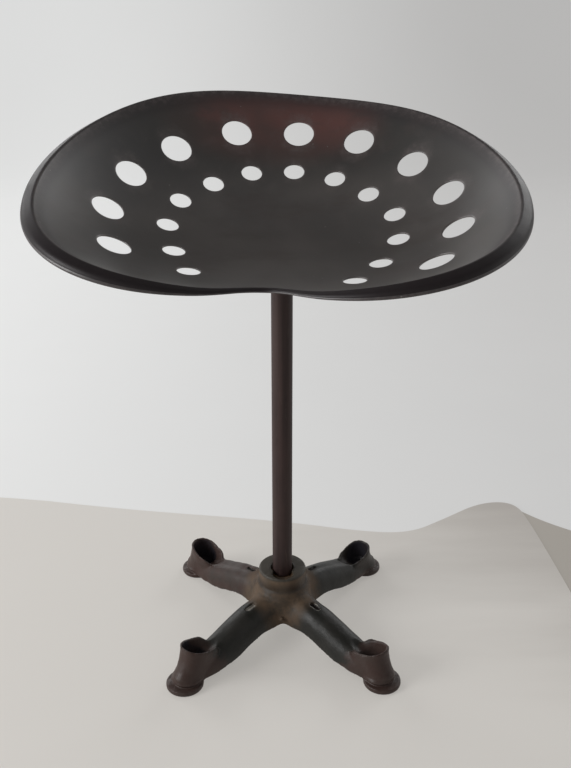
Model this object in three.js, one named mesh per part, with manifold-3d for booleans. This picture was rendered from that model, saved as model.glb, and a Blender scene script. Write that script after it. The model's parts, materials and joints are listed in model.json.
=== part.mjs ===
// Tractor seat stool: a perforated pressed-steel seat turns on a post in a cast base with four booted legs.
// Millimetres, +Z up. The floor is z = 0, the post's axis is the Z axis and the front faces -Y.
// Places on the base are given by their distance from the post's axis, along a leg, and their height.
import * as THREE from "three";
import { mergeVertices } from "three/addons/utils/BufferGeometryUtils.js";
import Module from "manifold-3d";

const wasm = await Module();
wasm.setup();

// Clearances
const touch_gap = 0.3;
const cut_overrun = 4;

// Seat pan: one sheet, dished. Its own frame has its zero at the dish's centre height on the post's axis.
const sheet = 1.6;
const dish_height = 409;
const dish_forward = 50;
const dish_slope = 0.11;
const rim_reach = 200;
const back_rise = 110.4;
const rim_reach_shares = [1.105, 1.073, 1.032, 0.984, 0.911, 0.6225, 0.396];
const rim_rise_shares = [1, 0.99, 0.81, 0.57, 0.34, 0.13, 0.01];
const bowl_powers = [2.5, 3.2, 1.95];
const pommel_height = 4;
const pommel_half_width = 28;
const pan_twist_share = -0.031;
const rim_skew_reach = 1.7;
const rim_skew_rise = 1.8;
const seat_turn = THREE.MathUtils.degToRad(6.7);
const seat_lean = THREE.MathUtils.degToRad(1.9);

// Turned-down lip: a narrow crest, a sloping flange, a round shoulder and the curl under its lower edge
const crest_radius = 3;
const flange_length = 5;
const flange_tilt = THREE.MathUtils.degToRad(25);
const shoulder_radius = 6;
const curl_radius = 2;
const least_crest_radius = 1.9;
const notch_share = 0.75;
const notch_half_width = 75;

// Holes in the pan, from the front corner round to the back, as shares of the rim's reach from the post
const large_hole_radius = 14.7;
const small_hole_radius = 9.8;
const large_hole_places_shares = [
  [0.66, -0.36],
  [0.755, -0.1],
  [0.72, 0.18],
  [0.56, 0.425],
  [0.3, 0.625],
  [0, 0.69],
];
const small_hole_places_shares = [
  [0.34, -0.41],
  [0.44, -0.225],
  [0.51, -0.02],
  [0.49, 0.17],
  [0.365, 0.33],
  [0.2, 0.45],
  [0, 0.495],
];

// Saddle plate under the pan, and the welds
const saddle_radius = 42;
const saddle_thickness = 4;
const saddle_weld_leg = 4;
const post_weld_leg = 5;

// Post with its turned-down spigot
const post_radius = 10;
const spigot_radius = 6;
const spigot_chamfer = 1;

// Hub of the casting
const hub_height = 70;
const hub_edge_round = 1.2;
const collar_radius = 24.4;
const collar_depth = 15.5;
const collar_step = 1.8;
const hub_body_radius = 28.5;
const hub_neck_radius = 26;
const hub_body_depth = 9;
const skirt_radius = 33.5;
const skirt_bottom = 21;
const skirt_spread = 34;
// From the skirt's foot up: height, radius between the legs, and spread along them
const skirt_ring_shares = [
  [0, 1, 1],
  [0.25, 0.97, 0.85],
  [0.5, 0.91, 0.6],
  [0.75, 0.85, 0.3],
  [1, 0.82, 0],
];
const nut_room_radius = 16;
const mouth_chamfer = 0.7;

// Bearing in the hub
const running_clearance = 0.1;
const bush_wall = 1.2;
const bush_recess = 6;
const ledge_top = 32;
const ledge_thickness = 8;
const thrust_washer_thickness = 2;

// Fastening under the hub
const retaining_washer_thickness = 2;
const retaining_washer_radius = 12;
const nut_height = 9;
const nut_half_flats = 9.5;
const nut_slot_depth = 4;
const nut_slot_width = 3.8;
const pin_radius = 1.5;
const pin_eye_radius = 2.6;
const pin_tail = 5;
const spigot_tip = 2.6;

// Legs: arched channels
const leg_wall = 4.5;
const leg_half_width = 17.8;
const leg_reach = 128;
const leg_crown = 46;
const leg_station_shares = [0.11, 0.25, 0.375, 0.5, 0.62, 0.73, 0.83, 0.92, 1];
const leg_crown_shares = [1.02, 1, 0.955, 0.88, 0.77, 0.67, 0.59, 0.54, 0.45];
const leg_edge_shares = [0.44, 0.44, 0.42, 0.34, 0.22, 0.17, 0.14, 0.12, 0.12];
const leg_width_shares = [1, 1, 1, 1, 1, 0.98, 0.93, 0.85, 0.7];
const leg_roundness = 2.3;
const leg_core_start = 24;
const leg_core_end = 94;
const slot_distance = 46.5;
const slot_length = 12;
const slot_width = 4.8;
const slot_depth = 2.5;

// Boots and feet
const foot_distance = 135.5;
const foot_radius = 18.4;
const foot_height = 10;
const foot_profile_shares = [
  [0.96, 0],
  [1, 0.1],
  [1, 0.46],
  [0.95, 0.56],
  [0.81, 0.6],
  [0.79, 0.76],
  [0.86, 0.86],
  [0.84, 1],
];
const boot_height = 33.5;
const boot_mouth_distance = 118;
const boot_mouth_half_length = 18.8;
const boot_mouth_half_width = 14.5;
const boot_mouth_slope = 0.3;
const boot_wall = 2.8;
const boot_floor = 12;
// From the foot up: height, lean inwards, half length, half width, slant, and squareness outboard and inboard
const boot_ring_shares = [
  [0, 0, 0.8, 0.98, 0, 2, 2],
  [0.12, 0.35, 0.98, 0.95, 0, 2.1, 2.3],
  [0.3, 0.65, 1.02, 0.94, 0.1, 2.2, 3],
  [0.55, 0.88, 1.02, 0.96, 0.5, 2.3, 4],
  [0.8, 1, 1, 1, 0.9, 2.3, 5],
  [1, 1, 1, 1, 1, 2.3, 5],
];
// The same for the boot's hollow, from its floor up
const hollow_ring_shares = [
  [0, 0.55, 0.42, 0.5, 0, 2, 2],
  [0.14, 0.6, 0.6, 0.72, 0, 2, 2],
  [0.5, 0.75, 0.76, 0.9, 0.4, 2.2, 2.4],
  [1, 0.88, 0.88, 1, 1, 2.3, 3],
  [1.2, 0.86, 0.92, 1.03, 1, 2.3, 3],
];
// The shallow scoop by which the leg's top runs into the boot
const scoop_distance = 103;
const scoop_half_length = 11;
const scoop_floor = 26;
const scoop_slope = 0.5;

// Values worked out from those above
const bore_radius = post_radius + running_clearance + bush_wall + touch_gap;
const ledge_bottom = ledge_top - ledge_thickness;
const shoulder_height = ledge_top + thrust_washer_thickness + 2 * touch_gap;
const washer_top = ledge_bottom - touch_gap;
const nut_top = washer_top - retaining_washer_thickness - touch_gap;
const pin_height = nut_top - nut_height + nut_slot_depth / 2;
const spigot_bottom = pin_height - pin_radius - spigot_tip;
const small_turn = 0.01;
const small_gap = 0.1;
const lean_rounds = 5;

// Step counts of the round forms
const pan_steps = 54;
const round_steps = 28;
const boot_steps = 20;
const leg_steps = 12;
const hole_steps = 14;
const slot_steps = 5;
const wire_steps = 10;

const finishes = {
  seat_steel: { color: 0x2b2826, roughness: 0.42, metalness: 0.6 },
  post_steel: { color: 0x3b302c, roughness: 0.45, metalness: 0.6 },
  cast_iron: { color: 0x3f3a37, roughness: 0.6, metalness: 0.5 },
  weld: { color: 0x35312e, roughness: 0.6, metalness: 0.6 },
  bronze: { color: 0x8a6a3a, roughness: 0.45, metalness: 0.8 },
  zinc: { color: 0x6f7072, roughness: 0.5, metalness: 0.8 },
};

// A closed solid over a row of rings, each with the same number of points or a single point
function skin(rings, joined = false) {
  const places = rings.flat();
  const starts = [];
  rings.reduce((start, ring) => {
    starts.push(start);
    return start + ring.length;
  }, 0);
  const corners = [];
  const bands = joined ? rings.length : rings.length - 1;
  for (let band = 0; band < bands; band++) {
    const next = (band + 1) % rings.length;
    const here = (step) => starts[band] + (step % rings[band].length);
    const there = (step) => starts[next] + (step % rings[next].length);
    const steps = Math.max(rings[band].length, rings[next].length);
    for (let step = 0; step < steps; step++) {
      if (rings[band].length > 1) corners.push(here(step), here(step + 1), there(step));
      if (rings[next].length > 1) corners.push(here(step + 1), there(step + 1), there(step));
    }
  }
  const geometry = new THREE.BufferGeometry().setFromPoints(places);
  geometry.setIndex(corners);
  return facingOut(geometry);
}

function middle(ring) {
  const sum = ring.reduce((total, place) => total.add(place), new THREE.Vector3());
  return sum.divideScalar(ring.length);
}

function capped(rings) {
  return skin([[middle(rings[0])], ...rings, [middle(rings[rings.length - 1])]]);
}

// Turns a closed mesh's faces outward
function facingOut(geometry) {
  const place = geometry.getAttribute("position");
  const index = geometry.getIndex();
  const [a, b, c] = [new THREE.Vector3(), new THREE.Vector3(), new THREE.Vector3()];
  let volume = 0;
  for (let i = 0; i < index.count; i += 3) {
    a.fromBufferAttribute(place, index.getX(i));
    b.fromBufferAttribute(place, index.getX(i + 1));
    c.fromBufferAttribute(place, index.getX(i + 2));
    volume += a.dot(b.cross(c));
  }
  if (volume < 0) geometry.setIndex(Array.from(index.array).reverse());
  return geometry;
}

function toSolid(geometry) {
  const bare = geometry.clone();
  bare.deleteAttribute("normal");
  bare.deleteAttribute("uv");
  const merged = mergeVertices(bare);
  const vertProperties = new Float32Array(merged.getAttribute("position").array);
  const triVerts = new Uint32Array(merged.getIndex().array);
  return new wasm.Manifold(new wasm.Mesh({ numProp: 3, vertProperties, triVerts }));
}

function toGeometry(solid) {
  const mesh = solid.getMesh();
  const geometry = new THREE.BufferGeometry();
  geometry.setAttribute("position", new THREE.BufferAttribute(mesh.vertProperties, 3));
  geometry.setIndex(new THREE.BufferAttribute(mesh.triVerts, 1));
  return geometry;
}

function joinAll(solids) {
  return solids.reduce((whole, solid) => whole.add(solid));
}

function cutAll(solid, cutters) {
  return cutters.reduce((rest, cutter) => rest.subtract(cutter), solid);
}

// A turned ring or disc about the Z axis, from its outline of distances from the axis and heights
function turned(outline, steps = round_steps) {
  const points = outline.map(([distance, height]) => new THREE.Vector2(distance, height));
  const geometry = mergeVertices(bareLathe(points, steps));
  geometry.rotateX(Math.PI / 2);
  return facingOut(geometry);
}

function bareLathe(points, steps) {
  const geometry = new THREE.LatheGeometry(points, steps);
  geometry.deleteAttribute("normal");
  geometry.deleteAttribute("uv");
  return geometry;
}

function washer(inner_radius, outer_radius, bottom, thickness) {
  return turned([
    [inner_radius, bottom],
    [outer_radius, bottom],
    [outer_radius, bottom + thickness],
    [inner_radius, bottom + thickness],
    [inner_radius, bottom],
  ]);
}

// A ring of points about an upright axis, with its own squareness outboard and inboard
function slantedRing(centre_distance, half_length, half_width, [outboard, inboard], heightAt) {
  return Array.from({ length: boot_steps }, (_, step) => {
    const angle = (2 * Math.PI * step) / boot_steps;
    const squareness = Math.cos(angle) < 0 ? inboard : outboard;
    const share = (wave) => Math.sign(wave) * Math.abs(wave) ** (2 / squareness);
    const along = half_length * share(Math.cos(angle));
    const across = half_width * share(Math.sin(angle));
    return new THREE.Vector3(centre_distance + along, across, heightAt(along));
  });
}

// A smooth wave through values at equal angles from the back of the seat, 0, to its front, half a turn
function ringValue(stations, angle) {
  const last = stations.length - 1;
  const endWeight = (index) => (index === 0 || index === last ? 0.5 : 1);
  let value = 0;
  for (let wave = 0; wave <= last; wave++) {
    const parts = stations.map((station, i) => endWeight(i) * station * Math.cos((Math.PI * wave * i) / last));
    const height = parts.reduce((sum, part) => sum + part, 0);
    value += endWeight(wave) * (2 / last) * height * Math.cos(wave * angle);
  }
  return value;
}

function rimReach(angle) {
  return rim_reach * ringValue(rim_reach_shares, angle) - rim_skew_reach * Math.sin(angle);
}

// The old pan isn't quite even: its right front stands higher than its left front
function rimRise(angle) {
  const to_front = (1 - Math.cos(angle)) / 2;
  return back_rise * ringValue(rim_rise_shares, angle) + rim_skew_rise * Math.sin(angle) * to_front ** 2;
}

// Height of the pan's upper face: a slope, a bowl that steepens towards the rim, and the pommel
function panHeight(x, y) {
  const back = y + dish_forward;
  const angle = Math.atan2(x, back);
  const reach = rimReach(angle);
  const bowl_at_rim = rimRise(angle) - dish_slope * reach * Math.cos(angle);
  const bowl = bowl_at_rim * (Math.hypot(x, back) / reach) ** ringValue(bowl_powers, angle);
  const front_share = Math.max(0, -back / rimReach(Math.PI));
  const pommel = pommel_height * front_share ** 2 * Math.exp(-((x / pommel_half_width) ** 2));
  const twist = (pan_twist_share * x * back) / rim_reach;
  return dish_slope * back + bowl + pommel + twist;
}

// How much longer a length square to the sheet is when it is measured upright
function uprightStretch(x, y) {
  const step = sheet / 2;
  const slope_x = (panHeight(x + step, y) - panHeight(x - step, y)) / sheet;
  const slope_y = (panHeight(x, y + step) - panHeight(x, y - step)) / sheet;
  return Math.sqrt(1 + slope_x ** 2 + slope_y ** 2);
}

function belowPan(x, y, depth) {
  return panHeight(x, y) - depth * uprightStretch(x, y);
}

function panPoint(share, angle, depth = 0) {
  const x = share * rimReach(angle) * Math.sin(angle);
  const y = share * rimReach(angle) * Math.cos(angle) - dish_forward;
  return new THREE.Vector3(x, y, depth ? belowPan(x, y, depth) : panHeight(x, y));
}

// The lip's section at one angle: over the crest, down the flange, round shoulder and curl, and back inside
function lipSection(angle) {
  const rim = panPoint(1, angle);
  const run = panPoint(1, angle + small_turn).sub(panPoint(1, angle - small_turn));
  const outward = new THREE.Vector3(-run.y, run.x, 0).normalize();
  const inner = rim.clone().addScaledVector(outward, -sheet);
  const slope = Math.atan((rim.z - panHeight(inner.x, inner.y)) / sheet);
  const full = Math.cos(angle) < 0 ? 1 - notch_share * Math.exp(-((rim.x / notch_half_width) ** 2)) : 1;
  const crest = Math.max(crest_radius * full, least_crest_radius);
  const flange = flange_length * full;
  const shoulder = Math.max(shoulder_radius * full, sheet + small_gap);
  const curl = Math.max(curl_radius * full, sheet / 2);
  const at = (out, up) => rim.clone().addScaledVector(outward, out).add(new THREE.Vector3(0, 0, up));
  const onCrest = (radius, share) => {
    const bend = share * (slope + flange_tilt) - slope;
    return at(crest * Math.sin(slope) + radius * Math.sin(bend), radius * Math.cos(bend) - crest * Math.cos(slope));
  };
  const across = crest * (Math.sin(slope) + Math.sin(flange_tilt)) + flange * Math.cos(flange_tilt);
  const rise = crest * (Math.cos(flange_tilt) - Math.cos(slope)) - flange * Math.sin(flange_tilt);
  const shoulder_out = across - shoulder * Math.sin(flange_tilt);
  const shoulder_up = rise - shoulder * Math.cos(flange_tilt);
  const onShoulder = (radius, share) => {
    const bend = flange_tilt + share * (Math.PI / 2 - flange_tilt);
    return at(shoulder_out + radius * Math.sin(bend), shoulder_up + radius * Math.cos(bend));
  };
  const whole_curl = 2 * Math.PI - Math.acos((curl - sheet) / curl);
  const onCurl = (share) => {
    const bend = -share * whole_curl;
    return at(shoulder_out + shoulder - curl + curl * Math.cos(bend), shoulder_up + curl * Math.sin(bend));
  };
  const outside = [onCrest(crest, 0.5), onCrest(crest, 1)];
  outside.push(...[0, 0.5, 1].map((share) => onShoulder(shoulder, share)));
  const hem = [0.25, 0.5, 0.75, 1].map(onCurl);
  const inside = [0.5, 0].map((share) => onShoulder(shoulder - sheet, share));
  return [...outside, ...hem, ...inside, onCrest(crest - sheet, 0.5)];
}

function seatPan() {
  const top_shares = [0.22, 0.42, 0.6, 0.75, 0.87, 0.95, 1];
  const under_shares = [0.93, 0.78, 0.6, 0.3];
  const columns = Array.from({ length: pan_steps }, (_, step) => {
    const angle = (2 * Math.PI * step) / pan_steps;
    const top = top_shares.map((share) => panPoint(share, angle));
    const under = under_shares.map((share) => panPoint(share, angle, sheet));
    return [...top, ...lipSection(angle), ...under];
  });
  const rings = columns[0].map((_, row) => columns.map((column) => column[row]));
  const pan = toSolid(skin([[panPoint(0, 0)], ...rings, [panPoint(0, 0, sheet)]]));
  const large = mirroredPlaces(large_hole_places_shares).map((place) => holeCutter(place, large_hole_radius));
  const small = mirroredPlaces(small_hole_places_shares).map((place) => holeCutter(place, small_hole_radius));
  return toGeometry(cutAll(pan, [...large, ...small]));
}

function mirroredPlaces(places_shares) {
  const right = places_shares.map(([x, y]) => [rim_reach * x, rim_reach * y]);
  const left = right.filter(([x]) => x > 0).map(([x, y]) => [-x, y]);
  return [...right, ...left];
}

// A cylinder square to the sheet at a hole's place
function holeCutter([x, y], radius) {
  const length = 2 * (sheet + cut_overrun);
  const cutter = new THREE.CylinderGeometry(radius, radius, length, hole_steps);
  const slope_x = (panHeight(x + sheet, y) - panHeight(x - sheet, y)) / (2 * sheet);
  const slope_y = (panHeight(x, y + sheet) - panHeight(x, y - sheet)) / (2 * sheet);
  const square = new THREE.Vector3(-slope_x, -slope_y, 1).normalize();
  cutter.applyQuaternion(new THREE.Quaternion().setFromUnitVectors(new THREE.Vector3(0, 1, 0), square));
  cutter.translate(x, y, belowPan(x, y, sheet / 2));
  return toSolid(cutter);
}

// A ring about the post's axis whose heights follow the pan: the section's corners are distances and depths
function draped(section, steps = round_steps) {
  return section.map(([distance, depthAt]) => {
    if (distance === 0) return [new THREE.Vector3(0, 0, depthAt(0, 0))];
    return Array.from({ length: steps }, (_, step) => {
      const angle = (2 * Math.PI * step) / steps;
      const [x, y] = [distance * Math.cos(angle), distance * Math.sin(angle)];
      return new THREE.Vector3(x, y, depthAt(x, y));
    });
  });
}

// Height in the post's frame of what lies at a depth below the pan, which leans about the pan's zero
function leaningHeight(x, y, depth) {
  let across = x;
  let height = 0;
  for (let round = 0; round < lean_rounds; round++) {
    height = belowPan(across, y, depth);
    across = (x - height * Math.sin(seat_lean)) / Math.cos(seat_lean);
  }
  return dish_height + height * Math.cos(seat_lean) - across * Math.sin(seat_lean);
}

const saddle_top = sheet + touch_gap;
const saddle_bottom = saddle_top + saddle_thickness;

function saddlePlate() {
  const top = (x, y) => belowPan(x, y, saddle_top);
  const bottom = (x, y) => belowPan(x, y, saddle_bottom);
  const inside = saddle_radius / 2;
  const section = [
    [0, top],
    [inside, top],
    [saddle_radius, top],
    [saddle_radius, bottom],
    [inside, bottom],
    [0, bottom],
  ];
  return skin(draped(section));
}

// A fillet of weld metal round an upright face, under a surface whose height is given at each place
function weldBead(face_radius, leg, heightAt) {
  const near = face_radius + touch_gap;
  const middle_share = 0.4;
  const below = (drop) => (x, y) => heightAt(x, y) - drop;
  const section = [
    [near, below(0)],
    [near + leg, below(0)],
    [near + leg * middle_share, below(leg * middle_share)],
    [near, below(leg)],
  ];
  return skin(draped(section), true);
}

function saddleWeld() {
  return weldBead(saddle_radius, saddle_weld_leg, (x, y) => belowPan(x, y, saddle_top));
}

function postWeld() {
  return weldBead(post_radius, post_weld_leg, postTop);
}

function postTop(x, y) {
  return leaningHeight(x, y, saddle_bottom + touch_gap);
}

function seatPost() {
  const level = (height) => () => height;
  const rings = draped([
    [0, level(spigot_bottom)],
    [spigot_radius - spigot_chamfer, level(spigot_bottom)],
    [spigot_radius, level(spigot_bottom + spigot_chamfer)],
    [spigot_radius, level(shoulder_height)],
    [post_radius, level(shoulder_height)],
    [post_radius, postTop],
    [0, postTop],
  ]);
  const cross_hole = new THREE.CylinderGeometry(
    pin_radius + touch_gap,
    pin_radius + touch_gap,
    2 * spigot_radius + cut_overrun,
    hole_steps,
  );
  cross_hole.rotateZ(Math.PI / 2);
  cross_hole.translate(0, 0, pin_height);
  return toGeometry(toSolid(skin(rings)).subtract(toSolid(cross_hole)));
}

function castleNut() {
  const hexagon = new THREE.Shape();
  const corner = nut_half_flats / Math.cos(Math.PI / 6);
  for (let side = 0; side < 6; side++) {
    const angle = (Math.PI * side) / 3 + Math.PI / 6;
    const [x, y] = [corner * Math.cos(angle), corner * Math.sin(angle)];
    if (side === 0) hexagon.moveTo(x, y);
    else hexagon.lineTo(x, y);
  }
  const hole = new THREE.Path();
  hole.absarc(0, 0, spigot_radius + touch_gap, 0, 2 * Math.PI, true);
  hexagon.holes.push(hole);
  const upright = { depth: nut_height, bevelEnabled: false, curveSegments: round_steps / 2 };
  const body = new THREE.ExtrudeGeometry(hexagon, upright);
  body.translate(0, 0, nut_top - nut_height);
  const slots = [0, 1, 2].map((pair) => {
    const slot = new THREE.BoxGeometry(4 * nut_half_flats, nut_slot_width, 2 * nut_slot_depth);
    slot.rotateZ((Math.PI * pair) / 3);
    slot.translate(0, 0, nut_top - nut_height);
    return toSolid(slot);
  });
  return toGeometry(cutAll(toSolid(body), slots));
}

// Split pin: its eye on one side of the nut, its tail bent up against the other
function splitPin() {
  const grip = nut_half_flats + touch_gap + pin_radius;
  const path = new THREE.CurvePath();
  const start = new THREE.Vector3(-grip, 0, pin_height);
  const bend = new THREE.Vector3(grip, 0, pin_height);
  const tail = new THREE.Vector3(grip + pin_radius, 0, pin_height - pin_tail);
  path.add(new THREE.LineCurve3(start, bend));
  path.add(new THREE.QuadraticBezierCurve3(bend, new THREE.Vector3(tail.x, 0, pin_height), tail));
  const wire = new THREE.Shape();
  wire.absarc(0, 0, pin_radius, 0, 2 * Math.PI, false);
  const along = { extrudePath: path, steps: wire_steps, curveSegments: wire_steps / 2 };
  const shank = new THREE.ExtrudeGeometry(wire, along);
  const eye = new THREE.TorusGeometry(pin_eye_radius, pin_radius, wire_steps, wire_steps);
  eye.rotateX(Math.PI / 2);
  eye.translate(-grip - pin_eye_radius, 0, pin_height);
  return toGeometry(toSolid(shank).add(toSolid(eye)));
}

function hubBush() {
  const inner = post_radius + running_clearance;
  const bottom = shoulder_height + touch_gap;
  return washer(inner, inner + bush_wall, bottom, hub_height - bush_recess - bottom);
}

function thrustWasher() {
  const bottom = ledge_top + touch_gap;
  return washer(spigot_radius + touch_gap, bore_radius - touch_gap, bottom, thrust_washer_thickness);
}

function retainingWasher() {
  const bottom = washer_top - retaining_washer_thickness;
  return washer(spigot_radius + touch_gap, retaining_washer_radius, bottom, retaining_washer_thickness);
}

// One station of a leg: a round-shouldered arch across the leg
function legArch(share, inset) {
  const pick = (stations) => alongLeg(stations, share);
  const half_width = leg_half_width * pick(leg_width_shares) - inset;
  const crown = leg_crown * pick(leg_crown_shares) - inset;
  const edge = inset ? -cut_overrun : leg_crown * pick(leg_edge_shares);
  return Array.from({ length: leg_steps + 1 }, (_, step) => {
    const angle = (Math.PI * step) / leg_steps;
    const across = Math.sign(Math.cos(angle)) * Math.abs(Math.cos(angle)) ** (2 / leg_roundness);
    const up = Math.sin(angle) ** (2 / leg_roundness);
    return new THREE.Vector3(leg_reach * share, half_width * across, edge + (crown - edge) * up);
  });
}

function alongLeg(stations, share) {
  const last = leg_station_shares.length - 1;
  const after = leg_station_shares.findIndex((station) => station >= share);
  if (after <= 0) return stations[after === 0 ? 0 : last];
  const span = leg_station_shares[after] - leg_station_shares[after - 1];
  const part = (share - leg_station_shares[after - 1]) / span;
  return stations[after - 1] + part * (stations[after] - stations[after - 1]);
}

function legBody() {
  return toSolid(capped(leg_station_shares.map((share) => legArch(share, 0))));
}

function legCore() {
  const first = leg_core_start / leg_reach;
  const last = leg_core_end / leg_reach;
  const between = leg_station_shares.filter((share) => share > first && share < last);
  return toSolid(capped([first, ...between, last].map((share) => legArch(share, leg_wall))));
}

function legSlot() {
  const radius = slot_width / 2;
  const straight = (slot_length - slot_width) / 2;
  const outline = new THREE.Shape();
  outline.absarc(slot_distance + straight, 0, radius, -Math.PI / 2, Math.PI / 2, false);
  outline.absarc(slot_distance - straight, 0, radius, Math.PI / 2, (3 * Math.PI) / 2, false);
  outline.closePath();
  const crown = leg_crown * alongLeg(leg_crown_shares, slot_distance / leg_reach);
  const upright = { depth: slot_depth + cut_overrun, bevelEnabled: false, curveSegments: slot_steps };
  const cutter = new THREE.ExtrudeGeometry(outline, upright);
  cutter.translate(0, 0, crown - slot_depth);
  return toSolid(cutter);
}

// Foot disc with a rounded rim, a groove and a raised ring
function foot() {
  const profile = foot_profile_shares.map(([out, up]) => [foot_radius * out, foot_height * up]);
  const disc = turned([[0, 0], ...profile, [0, foot_height]], boot_steps);
  disc.translate(foot_distance, 0, 0);
  return toSolid(disc);
}

// A form that rises from a level by rings that lean in towards the hub and slant up outboard
function bootForm(ring_shares, bottom, wall) {
  const lean = foot_distance - boot_mouth_distance;
  const rise = boot_height - bottom;
  const rings = ring_shares.map(([up, inwards, length, width, slant, outboard, inboard]) => {
    const heightAt = (along) => bottom + rise * up + boot_mouth_slope * slant * along;
    const half_length = (boot_mouth_half_length - wall) * length;
    const half_width = (boot_mouth_half_width - wall) * width;
    return slantedRing(foot_distance - lean * inwards, half_length, half_width, [outboard, inboard], heightAt);
  });
  return toSolid(capped(rings));
}

function bootBody() {
  return bootForm(boot_ring_shares, foot_height, 0);
}

function bootHollow() {
  return bootForm(hollow_ring_shares, boot_floor, boot_wall);
}

function bootScoop() {
  const half_width = boot_mouth_half_width - boot_wall;
  const squareness = [2, 2];
  const rings = [scoop_floor, scoop_floor + boot_height].map((height) => {
    const heightAt = (along) => height - scoop_slope * along;
    return slantedRing(scoop_distance, scoop_half_length, half_width, squareness, heightAt);
  });
  return toSolid(capped(rings));
}

function hubBody() {
  const collar_bottom = hub_height - collar_depth;
  return toSolid(
    turned([
      [0, skirt_bottom],
      [hub_body_radius, skirt_bottom],
      [hub_body_radius, collar_bottom - hub_body_depth],
      [hub_neck_radius, collar_bottom - collar_step],
      [hub_neck_radius - collar_step, collar_bottom],
      [collar_radius, collar_bottom + collar_step],
      [collar_radius, hub_height - hub_edge_round],
      [collar_radius - hub_edge_round, hub_height],
      [0, hub_height],
    ]),
  );
}

// The bell below the hub, which runs out into the legs
function hubSkirt() {
  const rise = hub_height - collar_depth - hub_body_depth - skirt_bottom;
  const rings = skirt_ring_shares.map(([up, radius, spread]) =>
    Array.from({ length: round_steps }, (_, step) => {
      const angle = (2 * Math.PI * step) / round_steps;
      const along_leg = Math.sin(2 * angle) ** 4;
      const reach = skirt_radius * radius + skirt_spread * spread * along_leg;
      return new THREE.Vector3(reach * Math.cos(angle), reach * Math.sin(angle), skirt_bottom + rise * up);
    }),
  );
  return toSolid(capped(rings));
}

// The bore from above, the spigot's hole through the ledge, and the open ring of the core below
function hubCuts() {
  const bore = turned([
    [0, ledge_top],
    [bore_radius, ledge_top],
    [bore_radius, hub_height - mouth_chamfer],
    [bore_radius + mouth_chamfer, hub_height],
    [bore_radius + mouth_chamfer, hub_height + cut_overrun],
    [0, hub_height + cut_overrun],
  ]);
  const hole = turned([
    [0, -cut_overrun],
    [spigot_radius + touch_gap, -cut_overrun],
    [spigot_radius + touch_gap, ledge_top + touch_gap],
    [0, ledge_top + touch_gap],
  ]);
  const under = turned([
    [0, -cut_overrun],
    [skirt_radius - leg_wall, -cut_overrun],
    [skirt_radius - leg_wall, skirt_bottom],
    [nut_room_radius, ledge_bottom],
    [0, ledge_bottom],
  ]);
  return [bore, hole, under].map(toSolid);
}

function baseCasting() {
  const turns = [45, 135, 225, 315];
  const onEachLeg = (solid) => turns.map((turn) => solid.rotate([0, 0, turn]));
  const bodies = [legBody(), foot(), bootBody()].flatMap(onEachLeg);
  const cores = [legCore(), legSlot(), bootHollow(), bootScoop()].flatMap(onEachLeg);
  const casting = joinAll([hubBody(), hubSkirt(), ...bodies]);
  return toGeometry(cutAll(casting, [...cores, ...hubCuts()]));
}

function piece(name, geometry, finish) {
  const flat = geometry.index ? geometry.toNonIndexed() : geometry;
  flat.computeVertexNormals();
  const mesh = new THREE.Mesh(flat, new THREE.MeshStandardMaterial(finishes[finish]));
  mesh.name = name;
  return mesh;
}

const base = new THREE.Group();
base.add(piece("base_casting", baseCasting(), "cast_iron"));
base.add(piece("hub_bush", hubBush(), "bronze"));
base.add(piece("thrust_washer", thrustWasher(), "bronze"));

const dish = new THREE.Group();
dish.position.z = dish_height;
dish.rotation.y = seat_lean;
dish.add(piece("seat_pan", seatPan(), "seat_steel"));
dish.add(piece("saddle_plate", saddlePlate(), "post_steel"));
dish.add(piece("saddle_weld", saddleWeld(), "weld"));

const seat = new THREE.Group();
seat.rotation.z = -seat_turn;
seat.add(dish);
seat.add(piece("post_weld", postWeld(), "weld"));
seat.add(piece("seat_post", seatPost(), "post_steel"));
seat.add(piece("retaining_washer", retainingWasher(), "zinc"));
seat.add(piece("castle_nut", castleNut(), "zinc"));
seat.add(piece("split_pin", splitPin(), "zinc"));

// The part's frame has its zero under the middle of the whole stool's box
const assembly = new THREE.Group();
assembly.add(base, seat);
const box = new THREE.Box3().setFromObject(assembly, true);
const centre = box.getCenter(new THREE.Vector3());
assembly.position.set(-centre.x, -centre.y, -box.min.z);

const stool = new THREE.Group();
stool.add(assembly);

export default stool;
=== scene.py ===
"""Looks of the tractor seat stool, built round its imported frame.

Shape code works in millimetres about the post's axis: the floor is z = 0 and the seat's front faces -Y.
Lengths become metres where a mesh is made. Materials, lamps and the stage are in metres from the start.
"""

import json
import logging
import math
from dataclasses import dataclass, field
from enum import Enum
from typing import Callable, Sequence, Union

import bpy
import numpy as np
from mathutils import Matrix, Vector
from mathutils.geometry import delaunay_2d_cdt

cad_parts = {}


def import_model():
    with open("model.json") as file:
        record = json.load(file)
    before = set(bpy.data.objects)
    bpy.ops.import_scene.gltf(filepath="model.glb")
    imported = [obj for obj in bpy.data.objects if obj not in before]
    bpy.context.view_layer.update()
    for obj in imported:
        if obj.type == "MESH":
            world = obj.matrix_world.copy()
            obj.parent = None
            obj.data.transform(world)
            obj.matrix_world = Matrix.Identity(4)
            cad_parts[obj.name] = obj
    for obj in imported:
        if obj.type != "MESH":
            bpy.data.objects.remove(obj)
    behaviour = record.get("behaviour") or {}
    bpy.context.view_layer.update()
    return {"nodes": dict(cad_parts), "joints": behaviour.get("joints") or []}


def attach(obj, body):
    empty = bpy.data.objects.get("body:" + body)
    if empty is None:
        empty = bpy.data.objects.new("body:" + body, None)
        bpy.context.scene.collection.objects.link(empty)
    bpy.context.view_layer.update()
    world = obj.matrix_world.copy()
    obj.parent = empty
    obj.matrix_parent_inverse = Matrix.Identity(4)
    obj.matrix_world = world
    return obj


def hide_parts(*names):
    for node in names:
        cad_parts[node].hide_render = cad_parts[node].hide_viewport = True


LOG = logging.getLogger("stool")
MM = 0.001
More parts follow.
